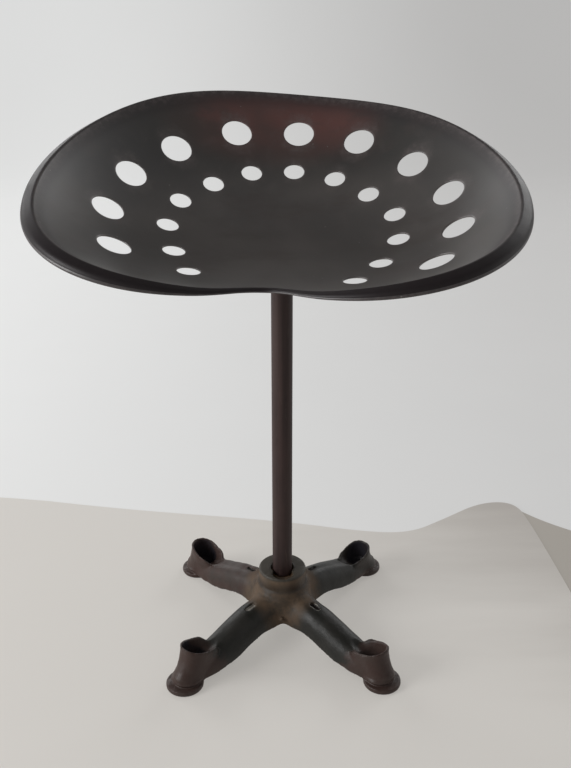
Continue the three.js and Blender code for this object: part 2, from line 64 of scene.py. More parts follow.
FULL_TURN = 2 * math.pi
FAR = 1e9
Array = np.ndarray
Pair = tuple[float, float]
Triple = tuple[float, float, float]
Colour = Triple
Faces = list[tuple[int, ...]]


class Body(Enum):
    """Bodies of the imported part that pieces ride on."""

    BASE = "base"
    SEAT = "seat"


class Slot(Enum):
    """Material slots of the record."""

    CAST_IRON = "cast_iron"
    BRONZE = "bronze"
    SEAT_STEEL = "seat_steel"
    POST_STEEL = "post_steel"
    WELD = "weld"
    ZINC = "zinc"


# Shader tree


class Wire:
    """An output of a shader node. Arithmetic on it adds Math nodes."""

    def __init__(self, tree: "Tree", socket: bpy.types.NodeSocket) -> None:
        """Keeps the tree and the output."""
        self.tree = tree
        self.socket = socket

    def __add__(self, other: "Value") -> "Wire":
        """Sum."""
        return self.tree.math("ADD", self, other)

    def __radd__(self, other: "Value") -> "Wire":
        """Sum with a number on the left."""
        return self.tree.math("ADD", other, self)

    def __sub__(self, other: "Value") -> "Wire":
        """Difference."""
        return self.tree.math("SUBTRACT", self, other)

    def __rsub__(self, other: "Value") -> "Wire":
        """Difference with a number on the left."""
        return self.tree.math("SUBTRACT", other, self)

    def __mul__(self, other: "Value") -> "Wire":
        """Product."""
        return self.tree.math("MULTIPLY", self, other)

    def __rmul__(self, other: "Value") -> "Wire":
        """Product with a number on the left."""
        return self.tree.math("MULTIPLY", other, self)

    def __pow__(self, other: "Value") -> "Wire":
        """Power."""
        return self.tree.math("POWER", self, other)


Value = Union[Wire, float]
ColourValue = Union[Wire, Colour]


class Tree:
    """The node tree of one material or of the world."""

    def __init__(self, owner: Union[bpy.types.Material, bpy.types.World], shader: str, place: str) -> None:
        """Starts on a new material or world.

        Args:
            owner: The material or world.
            shader: Name of its shader node.
            place: Which coordinates its patterns use.
        """
        self.owner = owner
        owner.use_nodes = True
        self.nodes = owner.node_tree.nodes
        self.shader = self.nodes[shader]
        self.place = self.node("ShaderNodeTexCoord", {}, {}, place)

    @classmethod
    def material(cls, name: str) -> "Tree":
        """Starts a material.

        Args:
            name: The material's name.

        Returns:
            Its tree.
        """
        return cls(bpy.data.materials.new(name), "Principled BSDF", "Object")

    @classmethod
    def world(cls, name: str) -> "Tree":
        """Starts a world, whose places are directions.

        Args:
            name: The world's name.

        Returns:
            Its tree.
        """
        return cls(bpy.data.worlds.new(name), "Background", "Generated")

    def plug(self, socket: bpy.types.NodeSocket, value: Union[Value, Sequence[float]]) -> None:
        """Links a wire to an input, or sets the input to a value.

        Args:
            socket: The input.
            value: A wire, a number, a colour or a vector.
        """
        if isinstance(value, Wire):
            self.owner.node_tree.links.new(value.socket, socket)
        elif socket.type == "RGBA":
            socket.default_value = (*value, 1.0)
        else:
            socket.default_value = value

    def node(self, kind: str, settings: dict, inputs: dict, output: Union[int, str] = 0) -> Wire:
        """Adds one node.

        Args:
            kind: Blender's name of the node type.
            settings: The node's properties.
            inputs: Values or wires by input name or number.
            output: Name or number of the output to return.

        Returns:
            The chosen output.
        """
        made = self.nodes.new(kind)
        for name, value in settings.items():
            setattr(made, name, value)
        for name, value in inputs.items():
            self.plug(made.inputs[name], value)
        return Wire(self, made.outputs[output])

    def math(self, operation: str, first: Value, second: Value) -> Wire:
        """A Math node on two values."""
        return self.node("ShaderNodeMath", {"operation": operation}, {0: first, 1: second})

    def between(self, value: Value, low: float, high: float) -> Wire:
        """Rises smoothly from 0 at low to 1 at high, and falls where low is above high.

        Args:
            value: What is measured.
            low: Where the result is 0.
            high: Where the result is 1.

        Returns:
            A wire from 0 to 1.
        """
        inputs = {"Value": value, "From Min": min(low, high), "From Max": max(low, high)}
        if low > high:
            inputs |= {"To Min": 1.0, "To Max": 0.0}
        return self.node("ShaderNodeMapRange", {"interpolation_type": "SMOOTHSTEP"}, inputs)

    def noise(self, scale: float, detail: float, stretch: Triple = (1, 1, 1), rough: float = 0.55) -> Wire:
        """Noise in the object's own coordinates.

        Args:
            scale: Features per metre.
            detail: Octaves.
            stretch: Scale along each axis.
            rough: Weight of the finer octaves.

        Returns:
            A wire round 0.5.
        """
        place = self.place
        if tuple(stretch) != (1, 1, 1):
            place = self.node("ShaderNodeVectorMath", {"operation": "MULTIPLY"}, {0: place, 1: stretch})
        inputs = {"Vector": place, "Scale": scale, "Detail": detail, "Roughness": rough}
        return self.node("ShaderNodeTexNoise", {}, inputs, "Fac")

    def specks(self, scale: float, size: float, share: float) -> Wire:
        """Small round spots at random places.

        Args:
            scale: Cells per metre.
            size: Radius of a spot as a share of a cell.
            share: Share of the cells that have a spot.

        Returns:
            A wire that is 1 in a spot.
        """
        inputs = {"Vector": self.place, "Scale": scale}
        cell = self.node("ShaderNodeTexVoronoi", {}, inputs, "Distance")
        colour = self.node("ShaderNodeTexVoronoi", {}, inputs, "Color")
        draw = self.node("ShaderNodeSeparateColor", {}, {"Color": colour}, "Red")
        return self.between(cell, size, size * 0.6) * self.math("LESS_THAN", draw, share)

    def axis(self, name: str) -> Wire:
        """One coordinate of the place, in metres."""
        return self.node("ShaderNodeSeparateXYZ", {}, {"Vector": self.place}, name)

    def seen(self) -> Wire:
        """Is 1 for rays that come from the camera or a mirror, and 0 for those that light the object.

        Returns:
            A wire of 0 or 1.
        """
        rays = ("Is Camera Ray", "Is Glossy Ray", "Is Transmission Ray")
        camera, glossy, through = (self.node("ShaderNodeLightPath", {}, {}, name) for name in rays)
        return self.math("MAXIMUM", camera, self.math("MAXIMUM", glossy, through))

    def painted(self, name: str) -> Wire:
        """A value that the mesh keeps at each point."""
        return self.node("ShaderNodeAttribute", {"attribute_name": name}, {}, "Fac")

    def mix(self, factor: Value, first: ColourValue, second: ColourValue) -> Wire:
        """A colour between two colours."""
        return self.node("ShaderNodeMix", {"data_type": "RGBA"}, {0: factor, 6: first, 7: second}, 2)

    def bump(self, height: Value, depth: float, strength: float, under: Union[Wire, None] = None) -> Wire:
        """A bumped normal.

        Args:
            height: Height from 0 to 1.
            depth: Height of 1 in metres.
            strength: Weight of the bump.
            under: Another bump below this one.

        Returns:
            The normal.
        """
        inputs = {"Height": height, "Distance": depth, "Strength": strength}
        if under is not None:
            inputs["Normal"] = under
        return self.node("ShaderNodeBump", {}, inputs)

    def finish(self, **inputs: Union[Value, ColourValue]) -> Union[bpy.types.Material, bpy.types.World]:
        """Sets the shader's inputs, named with _ for a space.

        Returns:
            The material or world.
        """
        for name, value in inputs.items():
            self.plug(self.shader.inputs[name.replace("_", " ")], value)
        return self.owner


# Finishes


@dataclass(frozen=True)
class PanPaint:
    """Old satin paint on the pressed seat: near black and maroon high at the back. The low dish is lighter
    for wear and a painted sheen, the lip is darkened with painted shade, and the worn crest and curl are
    lighter with a painted highlight.

    A pair of places or heights is where a tone starts and where it is full, in metres. maroon_squares
    are squares of such places.
    """

    black: Colour = (0.0165, 0.0145, 0.0135)
    olive: Colour = (0.0280, 0.0240, 0.0205)
    # lighter tone of the low dish: wear and a painted sheen
    sat_on_and_sheen: Colour = (0.0800, 0.0690, 0.0630)
    maroon: Colour = (0.1150, 0.0370, 0.0300)
    # near black of the lip: painted shade on the turned-down rim
    rim: Colour = (0.0120, 0.0080, 0.0098)
    brown: Colour = (0.0360, 0.0235, 0.0195)
    worn: Colour = (0.130, 0.105, 0.102)
    dust: Colour = (0.20, 0.19, 0.18)
    sat_on_and_sheen_heights: Pair = (0.478, 0.436)
    maroon_places: Pair = (0.095, 0.145)
    maroon_squares: Pair = (0.0140, 0.0040)
    dull_places: Pair = (0.05, 0.13)
    coat_roughness: float = 0.43
    coat_index: float = 1.95
    specular: float = 0.15

    def make(self) -> bpy.types.Material:
        """Builds the material.

        Returns:
            The material.
        """
        tree = Tree.material("seat_paint")
        rim, edge = tree.painted("rim"), tree.painted("edge")
        drawn = tree.between(tree.noise(70, 5, (1.0, 0.16, 1.0), 0.65), 0.52, 0.72)
        body = self.large_tones(tree)
        body = tree.mix(drawn * 0.12, body, self.worn)
        # painted shade: the lip and the sheet beside it take the darker lip colour
        body = tree.mix(rim * 0.95, body, self.rim)
        chips = tree.between(tree.noise(170, 6, rough=0.7), 0.42, 0.66)
        # worn edges and chips; on the crest and the curl this is also a painted highlight
        body = tree.mix(edge * (0.35 + 0.65 * chips) * 0.8, body, self.worn)
        body = tree.mix(tree.specks(140, 0.12, 0.05) * 0.7, body, self.dust)
        roughness = 0.42 + 0.2 * tree.noise(22, 5, rough=0.62) + 0.1 * drawn
        dull_back = 1 - 0.35 * tree.between(tree.axis("Y"), *self.dull_places)
        gloss = (1 - 0.9 * rim**3 * (1 - edge)) * dull_back
        orange_peel = tree.bump(tree.noise(420, 2), 0.00012, 0.35)
        pits = tree.bump(tree.noise(95, 5, rough=0.6), 0.0006, 0.3, orange_peel)
        return tree.finish(
            Base_Color=body,
            Roughness=roughness,
            Normal=pits,
            Coat_Weight=gloss,
            Coat_Roughness=self.coat_roughness,
            Coat_IOR=self.coat_index,
            Specular_IOR_Level=self.specular,
        )

    def large_tones(self, tree: Tree) -> Wire:
        """The paint's broad tones: clouds, the low dish lighter for wear and a painted sheen, the maroon back
        and brown smears.

        Args:
            tree: The material's tree.

        Returns:
            The colour.
        """
        cloud = tree.between(tree.noise(11, 4), 0.36, 0.66)
        body = tree.mix(cloud, self.black, self.olive)
        # the low dish is painted lighter, for wear and a painted sheen
        low_dish = tree.between(tree.axis("Z"), *self.sat_on_and_sheen_heights) * (0.55 + 0.45 * cloud)
        body = tree.mix(low_dish * 0.85, body, self.sat_on_and_sheen)
        patches = tree.between(tree.noise(9, 3), 0.3, 0.6)
        high_back = tree.between(tree.axis("Y"), *self.maroon_places) * patches
        middle = tree.between(tree.axis("X") ** 2, *self.maroon_squares)
        body = tree.mix(high_back * 0.9 * middle, body, self.maroon)
        smears = tree.between(tree.noise(13, 6, (0.7, 1.3, 1.0), 0.68), 0.50, 0.66)
        return tree.mix(smears * 0.6, body, self.brown)


@dataclass(frozen=True)
class Spot:
    """Where a point of the base is, as wires in metres from the post's axis and over the floor."""

    across: Wire
    along: Wire
    height: Wire
    reach: Wire


@dataclass(frozen=True)
class CastIron:
    """Dark paint over sand-cast iron: green-black legs, brown boots and feet, rusty brown round the hub.
    The boots' hollows carry painted light, and three slots' floors and the collar's lower side painted shade.

    A pair of places is where a tone starts and where it is full, in metres.
    """

    green: Colour = (0.0125, 0.0130, 0.0105)
    grey: Colour = (0.0260, 0.0245, 0.0215)
    brown: Colour = (0.0600, 0.0400, 0.0340)
    red_brown: Colour = (0.0540, 0.0290, 0.0235)
    rust: Colour = (0.1400, 0.0920, 0.0580)
    # lighter, bluish lining of the boots' hollows: painted light
    hollow: Colour = (0.0240, 0.0230, 0.0290)
    collar: Colour = (0.0680, 0.0590, 0.0460)
    # dark stain that is also painted shade, low on the collar and on three slots' floors
    stain_and_shade: Colour = (0.0130, 0.0085, 0.0060)
    pale: Colour = (0.3000, 0.2800, 0.2450)
    worn: Colour = (0.1000, 0.0880, 0.0780)
    back_left_across: Pair = (-0.012, -0.034)
    back_left_along: Pair = (0.004, 0.024)
    back_or_right: Pair = (0.0, 0.02)
    above_foot: Pair = (0.007, 0.012)
    boot_reach: Pair = (0.094, 0.108)
    web_reach: Pair = (0.050, 0.034)
    web_height: Pair = (0.0555, 0.052)
    collar_reach: Pair = (0.0262, 0.0250)
    collar_foot: Pair = (0.052, 0.056)
    collar_rim: Pair = (0.0685, 0.0660)
    stain_and_shade_reach: Pair = (0.0275, 0.0240)
    stain_and_shade_height: Pair = (0.0665, 0.0560)
    front_or_left: Pair = (-0.010, -0.020)
    chip_across: Pair = (0.0260, 0.0275)
    chip_diagonal: Pair = (0.0600, 0.0620)
    chip_start: Pair = (0.0385, 0.0400)
    chip_end: Pair = (0.0545, 0.0530)
    specular: float = 0.34

    def make(self, post_axis: Pair) -> bpy.types.Material:
        """Builds the material.

        Args:
            post_axis: The post's axis, in metres.

        Returns:
            The material.
        """
        tree = Tree.material("cast_iron_paint")
        across, along = tree.axis("X") - post_axis[0], tree.axis("Y") - post_axis[1]
        spot = Spot(across, along, tree.axis("Z"), (across * across + along * along) ** 0.5)
        patch = tree.between(tree.noise(48, 4, rough=0.6), 0.3, 0.62)
        web = tree.between(spot.reach, *self.web_reach) * tree.between(spot.height, *self.web_height)
        rusty = web * (0.3 + 0.7 * tree.between(tree.noise(60, 4, rough=0.6), 0.3, 0.6))
        on_collar = tree.between(spot.reach, *self.collar_reach)
        on_collar = on_collar * tree.between(spot.height, *self.collar_foot)
        body = self.limbs(tree, spot, patch)
        body = tree.mix(rusty * 0.8, body, self.rust)
        body = self.over_collar(tree, spot, patch, on_collar, body)
        body = self.over_openings(tree, spot, body)
        roughness = 0.34 + 0.2 * tree.noise(60, 4) + 0.22 * rusty + 0.08 * on_collar
        roughness = roughness - 0.06 * tree.painted("hollow")
        sand = tree.bump(tree.noise(520, 4, rough=0.6), 0.0005, 0.35)
        lumps = tree.bump(tree.noise(110, 3), 0.0012, 0.4, sand)
        return tree.finish(
            Base_Color=body,
            Roughness=roughness,
            Normal=lumps,
            Specular_IOR_Level=self.specular,
        )

    def limbs(self, tree: Tree, spot: Spot, patch: Wire) -> Wire:
        """Green-black legs, with brown on the boots, the feet and the back left leg.

        Args:
            tree: The material's tree.
            spot: Where the point is.
            patch: Clouds of 0 to 1.

        Returns:
            The colour.
        """
        cloud = tree.between(tree.noise(34, 5, rough=0.64), 0.38, 0.68)
        body = tree.mix(cloud, self.green, self.grey)
        skin = tree.mix(patch, self.brown, self.red_brown)
        left = tree.between(spot.across, *self.back_left_across)
        back = tree.between(spot.along, *self.back_left_along)
        body = tree.mix(left * back * (0.55 + 0.4 * patch), body, skin)
        outboard = tree.between(spot.reach + 0.012 * patch - 0.5 * spot.height, *self.boot_reach)
        right = tree.between(spot.across, *self.back_or_right)
        back = tree.between(spot.along, *self.back_or_right)
        back_right = right * back * tree.between(spot.height, *self.above_foot)
        return tree.mix(outboard * (0.9 - 0.65 * back_right), body, skin)

    def over_collar(self, tree: Tree, spot: Spot, patch: Wire, on_collar: Wire, body: Wire) -> Wire:
        """Lays the collar's dust, all rubbed edges, the collar's rust, and stain with painted shade on the
        collar's lower side over a body colour.

        Args:
            tree: The material's tree.
            spot: Where the point is.
            patch: Clouds of 0 to 1.
            on_collar: Is 1 on the collar.
            body: The colour under these tones.

        Returns:
            The colour.
        """
        body = tree.mix(on_collar * 0.75, body, self.collar)
        rubbed = tree.painted("edge") * tree.between(tree.noise(260, 5, rough=0.7), 0.4, 0.62)
        body = tree.mix(rubbed * 0.45, body, self.worn)
        side = on_collar * tree.between(spot.height, *self.collar_rim)
        body = tree.mix(side * (0.3 + 0.5 * patch), body, self.rust)
        # stain and painted shade darken the collar's lower side
        under_rim = tree.between(spot.reach, *self.stain_and_shade_reach)
        under_rim = under_rim * tree.between(spot.height, *self.stain_and_shade_height)
        return tree.mix(under_rim * (0.25 + 0.55 * patch), body, self.stain_and_shade)

    def over_openings(self, tree: Tree, spot: Spot, body: Wire) -> Wire:
        """Lays painted light in the boots' hollows, painted shade on three slots' floors, a pale floor in the
        front left slot and one slot's chipped edge over a body colour.

        Args:
            tree: The material's tree.
            spot: Where the point is.
            body: The colour under these tones.

        Returns:
            The colour.
        """
        front = tree.between(spot.along, *self.front_or_left)
        right = tree.between(spot.across, *self.back_or_right)
        left = tree.between(spot.across, *self.front_or_left)
        # painted light: the boots' hollows are lined lighter than the legs, brown in the front right one
        painted_light_lining = tree.mix(front * right, self.hollow, self.brown)
        body = tree.mix(tree.painted("hollow") * 0.9, body, painted_light_lining)
        # painted shade: three slots' floors are dark, the front left one pale
        slot_floor = tree.mix(front * left, self.stain_and_shade, self.pale)
        body = tree.mix(tree.painted("slot"), body, slot_floor)
        beside = tree.between(spot.across, *self.chip_across)
        diagonal = tree.between(spot.across - spot.along, *self.chip_diagonal)
        ends = tree.between(spot.reach, *self.chip_start) * tree.between(spot.reach, *self.chip_end)
        chip = front * beside * diagonal * ends * tree.between(tree.painted("edge"), 0.12, 0.4)
        return tree.mix(chip * 0.8, body, self.pale)


@dataclass(frozen=True)
class PostPaint:
    """Brown satin paint on drawn bar, streaked along the post and rubbed."""

    dark: Colour = (0.0290, 0.0160, 0.0150)
    light: Colour = (0.0560, 0.0330, 0.0300)
    worn: Colour = (0.1000, 0.0720, 0.0620)
    specular: float = 0.36

    def make(self) -> bpy.types.Material:
        """Builds the material.

        Returns:
            The material.
        """
        tree = Tree.material("post_paint")
        streak = tree.noise(170, 4, (1, 1, 0.035))
        cloud = tree.noise(34, 4, (1, 1, 0.5))
        body = tree.mix(tree.between(streak * 0.6 + cloud * 0.4, 0.36, 0.64), self.dark, self.light)
        rubbed = tree.between(tree.noise(210, 6, (1, 1, 0.12), 0.7), 0.58, 0.70)
        body = tree.mix(rubbed * 0.45, body, self.worn)
        roughness = 0.42 + 0.2 * cloud + 0.05 * streak
        drawn = tree.bump(streak, 0.00018, 0.4)
        pits = tree.bump(tree.noise(380, 3), 0.0002, 0.3, drawn)
        return tree.finish(
            Base_Color=body,
            Roughness=roughness,
            Normal=pits,
            Specular_IOR_Level=self.specular,
        )


@dataclass(frozen=True)
class PlainMetal:
    """Metal, bare, plated or painted over, with tarnish in clouds and fine turning marks."""

    name: str
    bright: Colour
    dull: Colour
    roughness: float
    metallic: float = 1.0

    def make(self) -> bpy.types.Material:
        """Builds the material.

        Returns:
            The material.
        """
        tree = Tree.material(self.name)
        cloud = tree.between(tree.noise(120, 5, rough=0.65), 0.35, 0.68)
        body = tree.mix(cloud, self.bright, self.dull)
        turning = tree.noise(900, 2, (1, 1, 3))
        roughness = self.roughness + 0.18 * cloud + 0.05 * turning
        marks = tree.bump(turning, 0.00005, 0.4)
        return tree.finish(Base_Color=body, Roughness=roughness, Metallic=self.metallic, Normal=marks)


@dataclass(frozen=True)
class StagePaint:
    """Pale, nearly even surface of the floor or the backdrop, with painted shade that darkens it to the right
    or the far right.
    """

    name: str
    left: Colour
    right: Colour
    lit: float
    ends: Pair
    slant: float = 0.0
    streaks: float = 0.0
    black: Colour = (0.0, 0.0, 0.0)
    glow_heights: Pair = (2.7, 1.0)

    def make(self) -> bpy.types.Material:
        """Builds the material: part of its tone is lit, and the rest is a painted glow that only the camera
        and mirrors see.

        Returns:
            The material.
        """
        tree = Tree.material(self.name)
        cloud = tree.noise(2.2, 3)
        streak = tree.noise(7, 4, (0.3, 1.6, 1.0))
        across = tree.axis("X") + self.slant * tree.axis("Y") + 0.1 * cloud + self.streaks * (streak - 0.5)
        # painted shade: the tone darkens from the left colour toward the right one
        tone = tree.mix(tree.between(across, *self.ends), self.left, self.right)
        lit_tone = tree.mix(self.lit, self.black, tone)
        low = tree.between(tree.axis("Z"), *self.glow_heights)
        glow = tree.mix(tree.seen() * low * (1 - self.lit), self.black, tone)
        roughness = 0.7 + 0.1 * tree.noise(9, 2)
        return tree.finish(
            Base_Color=lit_tone,
            Roughness=roughness,
            Emission_Color=glow,
            Emission_Strength=1.0,
        )


# Meshes


def make_mesh(name: str, places: Array, faces: Faces, sharp_angle: float = 35.0) -> bpy.types.Object:
    """Makes an object of points and faces.

    Args:
        name: The piece's name.
        places: Points in millimetres, in the part's frame.
        faces: Corners of each face, by number.
        sharp_angle: Edges that bend more than this stay sharp, in degrees.

    Returns:
        The object.
    """
    mesh = bpy.data.meshes.new(name)
    mesh.from_pydata((np.asarray(places) * MM).tolist(), [], faces)
    mesh.validate()
    mesh.shade_smooth()
    mesh.set_sharp_from_angle(angle=math.radians(sharp_angle))
    made = bpy.data.objects.new(name, mesh)
    bpy.context.scene.collection.objects.link(made)
    return made


def keep_values(piece: bpy.types.Object, name: str, values: Array) -> None:
    """Keeps one value at each point of a mesh for its material.

    Args:
        piece: The object.
        name: The attribute's name.
        values: One value per point.
    """
    layer = piece.data.attributes.new(name, "FLOAT", "POINT")
    layer.data.foreach_set("value", np.asarray(values, np.float32))


def ring_faces(ring_count: int, ring_size: int, joined: bool = False) -> Faces:
    """Faces between rings of equal size that follow each other in one row of points.

    Args:
        ring_count: Number of rings.
        ring_size: Points in each ring.
        joined: Whether the last ring joins the first.

    Returns:
        Four-cornered faces.
    """
    faces: Faces = []
    for ring in range(ring_count if joined else ring_count - 1):
        here, there = ring * ring_size, (ring + 1) % ring_count * ring_size
        for step in range(ring_size):
            after = (step + 1) % ring_size
            faces.append((here + step, here + after, there + after, there + step))
    return faces


def turned(outline: Sequence[Pair], steps: int, joined: bool) -> tuple[Array, Faces]:
    """A turned solid about the Z axis.

    Args:
        outline: Distances from the axis and heights. A closed ring's outline runs upward on its outside.
        steps: Points round the axis.
        joined: True for a ring, false for a solid whose outline starts and ends on the axis.

    Returns:
        Points and faces.
    """
    angles = np.arange(steps) * FULL_TURN / steps
    rings = outline if joined else outline[1:-1]
    places = [np.column_stack((r * np.cos(angles), r * np.sin(angles), np.full(steps, z))) for r, z in rings]
    faces = ring_faces(len(rings), steps, joined)
    if not joined:
        last = (len(rings) - 1) * steps
        ends = len(rings) * steps
        places.append(np.array([[0, 0, outline[0][1]], [0, 0, outline[-1][1]]]))
        for step in range(steps):
            after = (step + 1) % steps
            faces.append((ends, after, step))
            faces.append((ends + 1, last + step, last + after))
    return np.vstack(places), faces


def rounded(outline: Sequence[Pair], radius: float) -> list[Pair]:
    """Rounds the corners of a closed outline.

    Args:
        outline: Distances and heights.
        radius: Length that the round takes from each side of a corner.

    Returns:
        The longer outline.
    """
    corners = [np.array(corner, float) for corner in outline]
    made = []
    for place, corner in enumerate(corners):
        before = corners[place - 1] - corner
        after = corners[(place + 1) % len(corners)] - corner
        cut = min(radius, np.linalg.norm(before) / 2.2, np.linalg.norm(after) / 2.2)
        start = corner + before / np.linalg.norm(before) * cut
        end = corner + after / np.linalg.norm(after) * cut
        for share in (0.0, 0.33, 0.67, 1.0):
            near = (1 - share) ** 2 * start + 2 * share * (1 - share) * corner + share**2 * end
            made.append(tuple(near))
    return made


# Seat


class Wave:
    """A smooth even wave through values at equal angles from 0 to half a turn."""

    def __init__(self, stations: Sequence[float]) -> None:
        """Works out the wave's parts.

        Args:
            stations: Values from angle 0 to half a turn.
        """
        last = len(stations) - 1
        ends = np.ones(last + 1)
        ends[[0, last]] = 0.5
        waves = np.arange(last + 1)
        fits = np.cos(math.pi * np.outer(waves, waves) / last)
        self.parts = ends * (2 / last) * (fits @ (ends * np.array(stations)))

    def at(self, angle: Array) -> Array:
        """The wave's value at each angle."""
        return sum(part * np.cos(wave * angle) for wave, part in enumerate(self.parts))


@dataclass(frozen=True)
class PanForm:
    """Form of the pan's upper face in its own frame, whose zero is the dish's centre on the post's axis."""

    sheet: float = 1.6
    forward: float = 50.0
    slope: float = 0.11
    reach: float = 200.0
    back_rise: float = 110.4
    # Shares of the reach and of the rise, and the bowl's powers, at equal angles from back to front
    reach_shares: tuple[float, ...] = (1.105, 1.073, 1.032, 0.984, 0.911, 0.6225, 0.396)
    rise_shares: tuple[float, ...] = (1, 0.99, 0.81, 0.57, 0.34, 0.13, 0.01)
    bowl_powers: tuple[float, ...] = (2.5, 3.2, 1.95)
    skew_reach: float = 1.7
    skew_rise: float = 1.8
    pommel_height: float = 4.0
    pommel_half_width: float = 28.0
    twist_share: float = -0.031
    dent_depth: float = 0.35
    dent_length: float = 46.0

    def rim_reach(self, angle: Array) -> Array:
        """Distance of the rim from the pan's middle, at each angle from the back."""
        return self.reach * Wave(self.reach_shares).at(angle) - self.skew_reach * np.sin(angle)

    def rim_rise(self, angle: Array) -> Array:
        """Height of the rim, which is a little higher at the right front than at the left front.

        Args:
            angle: Angles from the back.

        Returns:
            Heights.
        """
        to_front = (1 - np.cos(angle)) / 2
        skew = self.skew_rise * np.sin(angle) * to_front**2
        return self.back_rise * Wave(self.rise_shares).at(angle) + skew

    def share(self, x: Array, y: Array) -> Array:
        """Distance from the pan's middle as a share of the rim's."""
        back = y + self.forward
        return np.hypot(x, back) / self.rim_reach(np.arctan2(x, back))

    def height(self, x: Array, y: Array) -> Array:
        """Height of the upper face: a slope, a bowl that steepens towards the rim, and the pommel.

        Args:
            x: Places across.
            y: Places from front to back.

        Returns:
            Heights over the dish's centre.
        """
        back = y + self.forward
        angle = np.arctan2(x, back)
        reach = self.rim_reach(angle)
        share = np.hypot(x, back) / reach
        at_rim = self.rim_rise(angle) - self.slope * reach * np.cos(angle)
        bowl = at_rim * share ** Wave(self.bowl_powers).at(angle)
        front = np.maximum(0, -back / self.rim_reach(np.array(math.pi)))
        pommel = self.pommel_height * front**2 * np.exp(-((x / self.pommel_half_width) ** 2))
        twist = self.twist_share * x * back / self.reach
        return self.slope * back + bowl + pommel + twist

    def dents(self, x: Array, y: Array) -> Array:
        """Shallow waves of an old pressing, which fade out at the rim.

        Args:
            x: Places across.
            y: Places from front to back.

        Returns:
            Heights of the waves.
        """
        first = np.sin(x / self.dent_length + 1.3) * np.sin(y / self.dent_length - 0.4)
        slanted = np.sin((x + 1.7 * y) / (0.6 * self.dent_length))
        second = slanted * np.sin((y - 0.8 * x) / (0.7 * self.dent_length))
        fade = np.clip(1.6 * (1 - self.share(x, y)), 0, 1)
        return self.dent_depth * fade * (0.7 * first + 0.45 * second)

    def upward(self, x: Array, y: Array) -> Array:
        """Direction square to the sheet at each place.

        Args:
            x: Places across.
            y: Places from front to back.

        Returns:
            Directions of length 1.
        """
        step = self.sheet / 2
        slope_x = (self.height(x + step, y) - self.height(x - step, y)) / self.sheet
        slope_y = (self.height(x, y + step) - self.height(x, y - step)) / self.sheet
        square = np.stack((-slope_x, -slope_y, np.ones_like(slope_x)), -1)
        return square / np.linalg.norm(square, axis=-1, keepdims=True)

    def below(self, x: Array, y: Array, depth: float) -> Array:
        """Height of what lies at a depth under the upper face, measured square to it."""
        return self.height(x, y) - depth / self.upward(x, y)[..., 2]


@dataclass(frozen=True)
class SeatPlace:
    """Where the seat stands on the post."""

    axis: Pair
    dish_height: float = 409.0
    turn: float = math.radians(6.7)
    lean: float = math.radians(1.9)

    def from_post(self, places: Array) -> Array:
        """Puts points of the turning pieces in the part's frame.

        Args:
            places: Points about the post's axis.

        Returns:
            The moved points.
        """
        x, y, z = np.asarray(places, float).T
        cosine, sine = math.cos(self.turn), math.sin(self.turn)
        across = self.axis[0] + x * cosine + y * sine
        back = self.axis[1] - x * sine + y * cosine
        return np.column_stack((across, back, z))

    def from_dish(self, places: Array) -> Array:
        """Puts points of the leaning dish in the part's frame.

        Args:
            places: Points in the pan's frame.

        Returns:
            The moved points.
        """
        x, y, z = np.asarray(places, float).T
        cosine, sine = math.cos(self.lean), math.sin(self.lean)
        leaning = np.column_stack((x * cosine + z * sine, y, self.dish_height + z * cosine - x * sine))
        return self.from_post(leaning)

    def leaning_height(self, form: PanForm, x: Array, y: Array, depth: float) -> Array:
        """Height, upright over the floor, of what lies at a depth below the leaning pan.

        Args:
            form: The pan's form.
            x: Places across, in the post's frame.
            y: Places from front to back.
            depth: Depth below the upper face.

        Returns:
            Heights over the floor.
        """
        across = x
        height = np.zeros_like(x)
        for _ in range(5):
            height = form.below(across, y, depth)
            across = (x - height * math.sin(self.lean)) / math.cos(self.lean)
        return self.dish_height + height * math.cos(self.lean) - across * math.sin(self.lean)


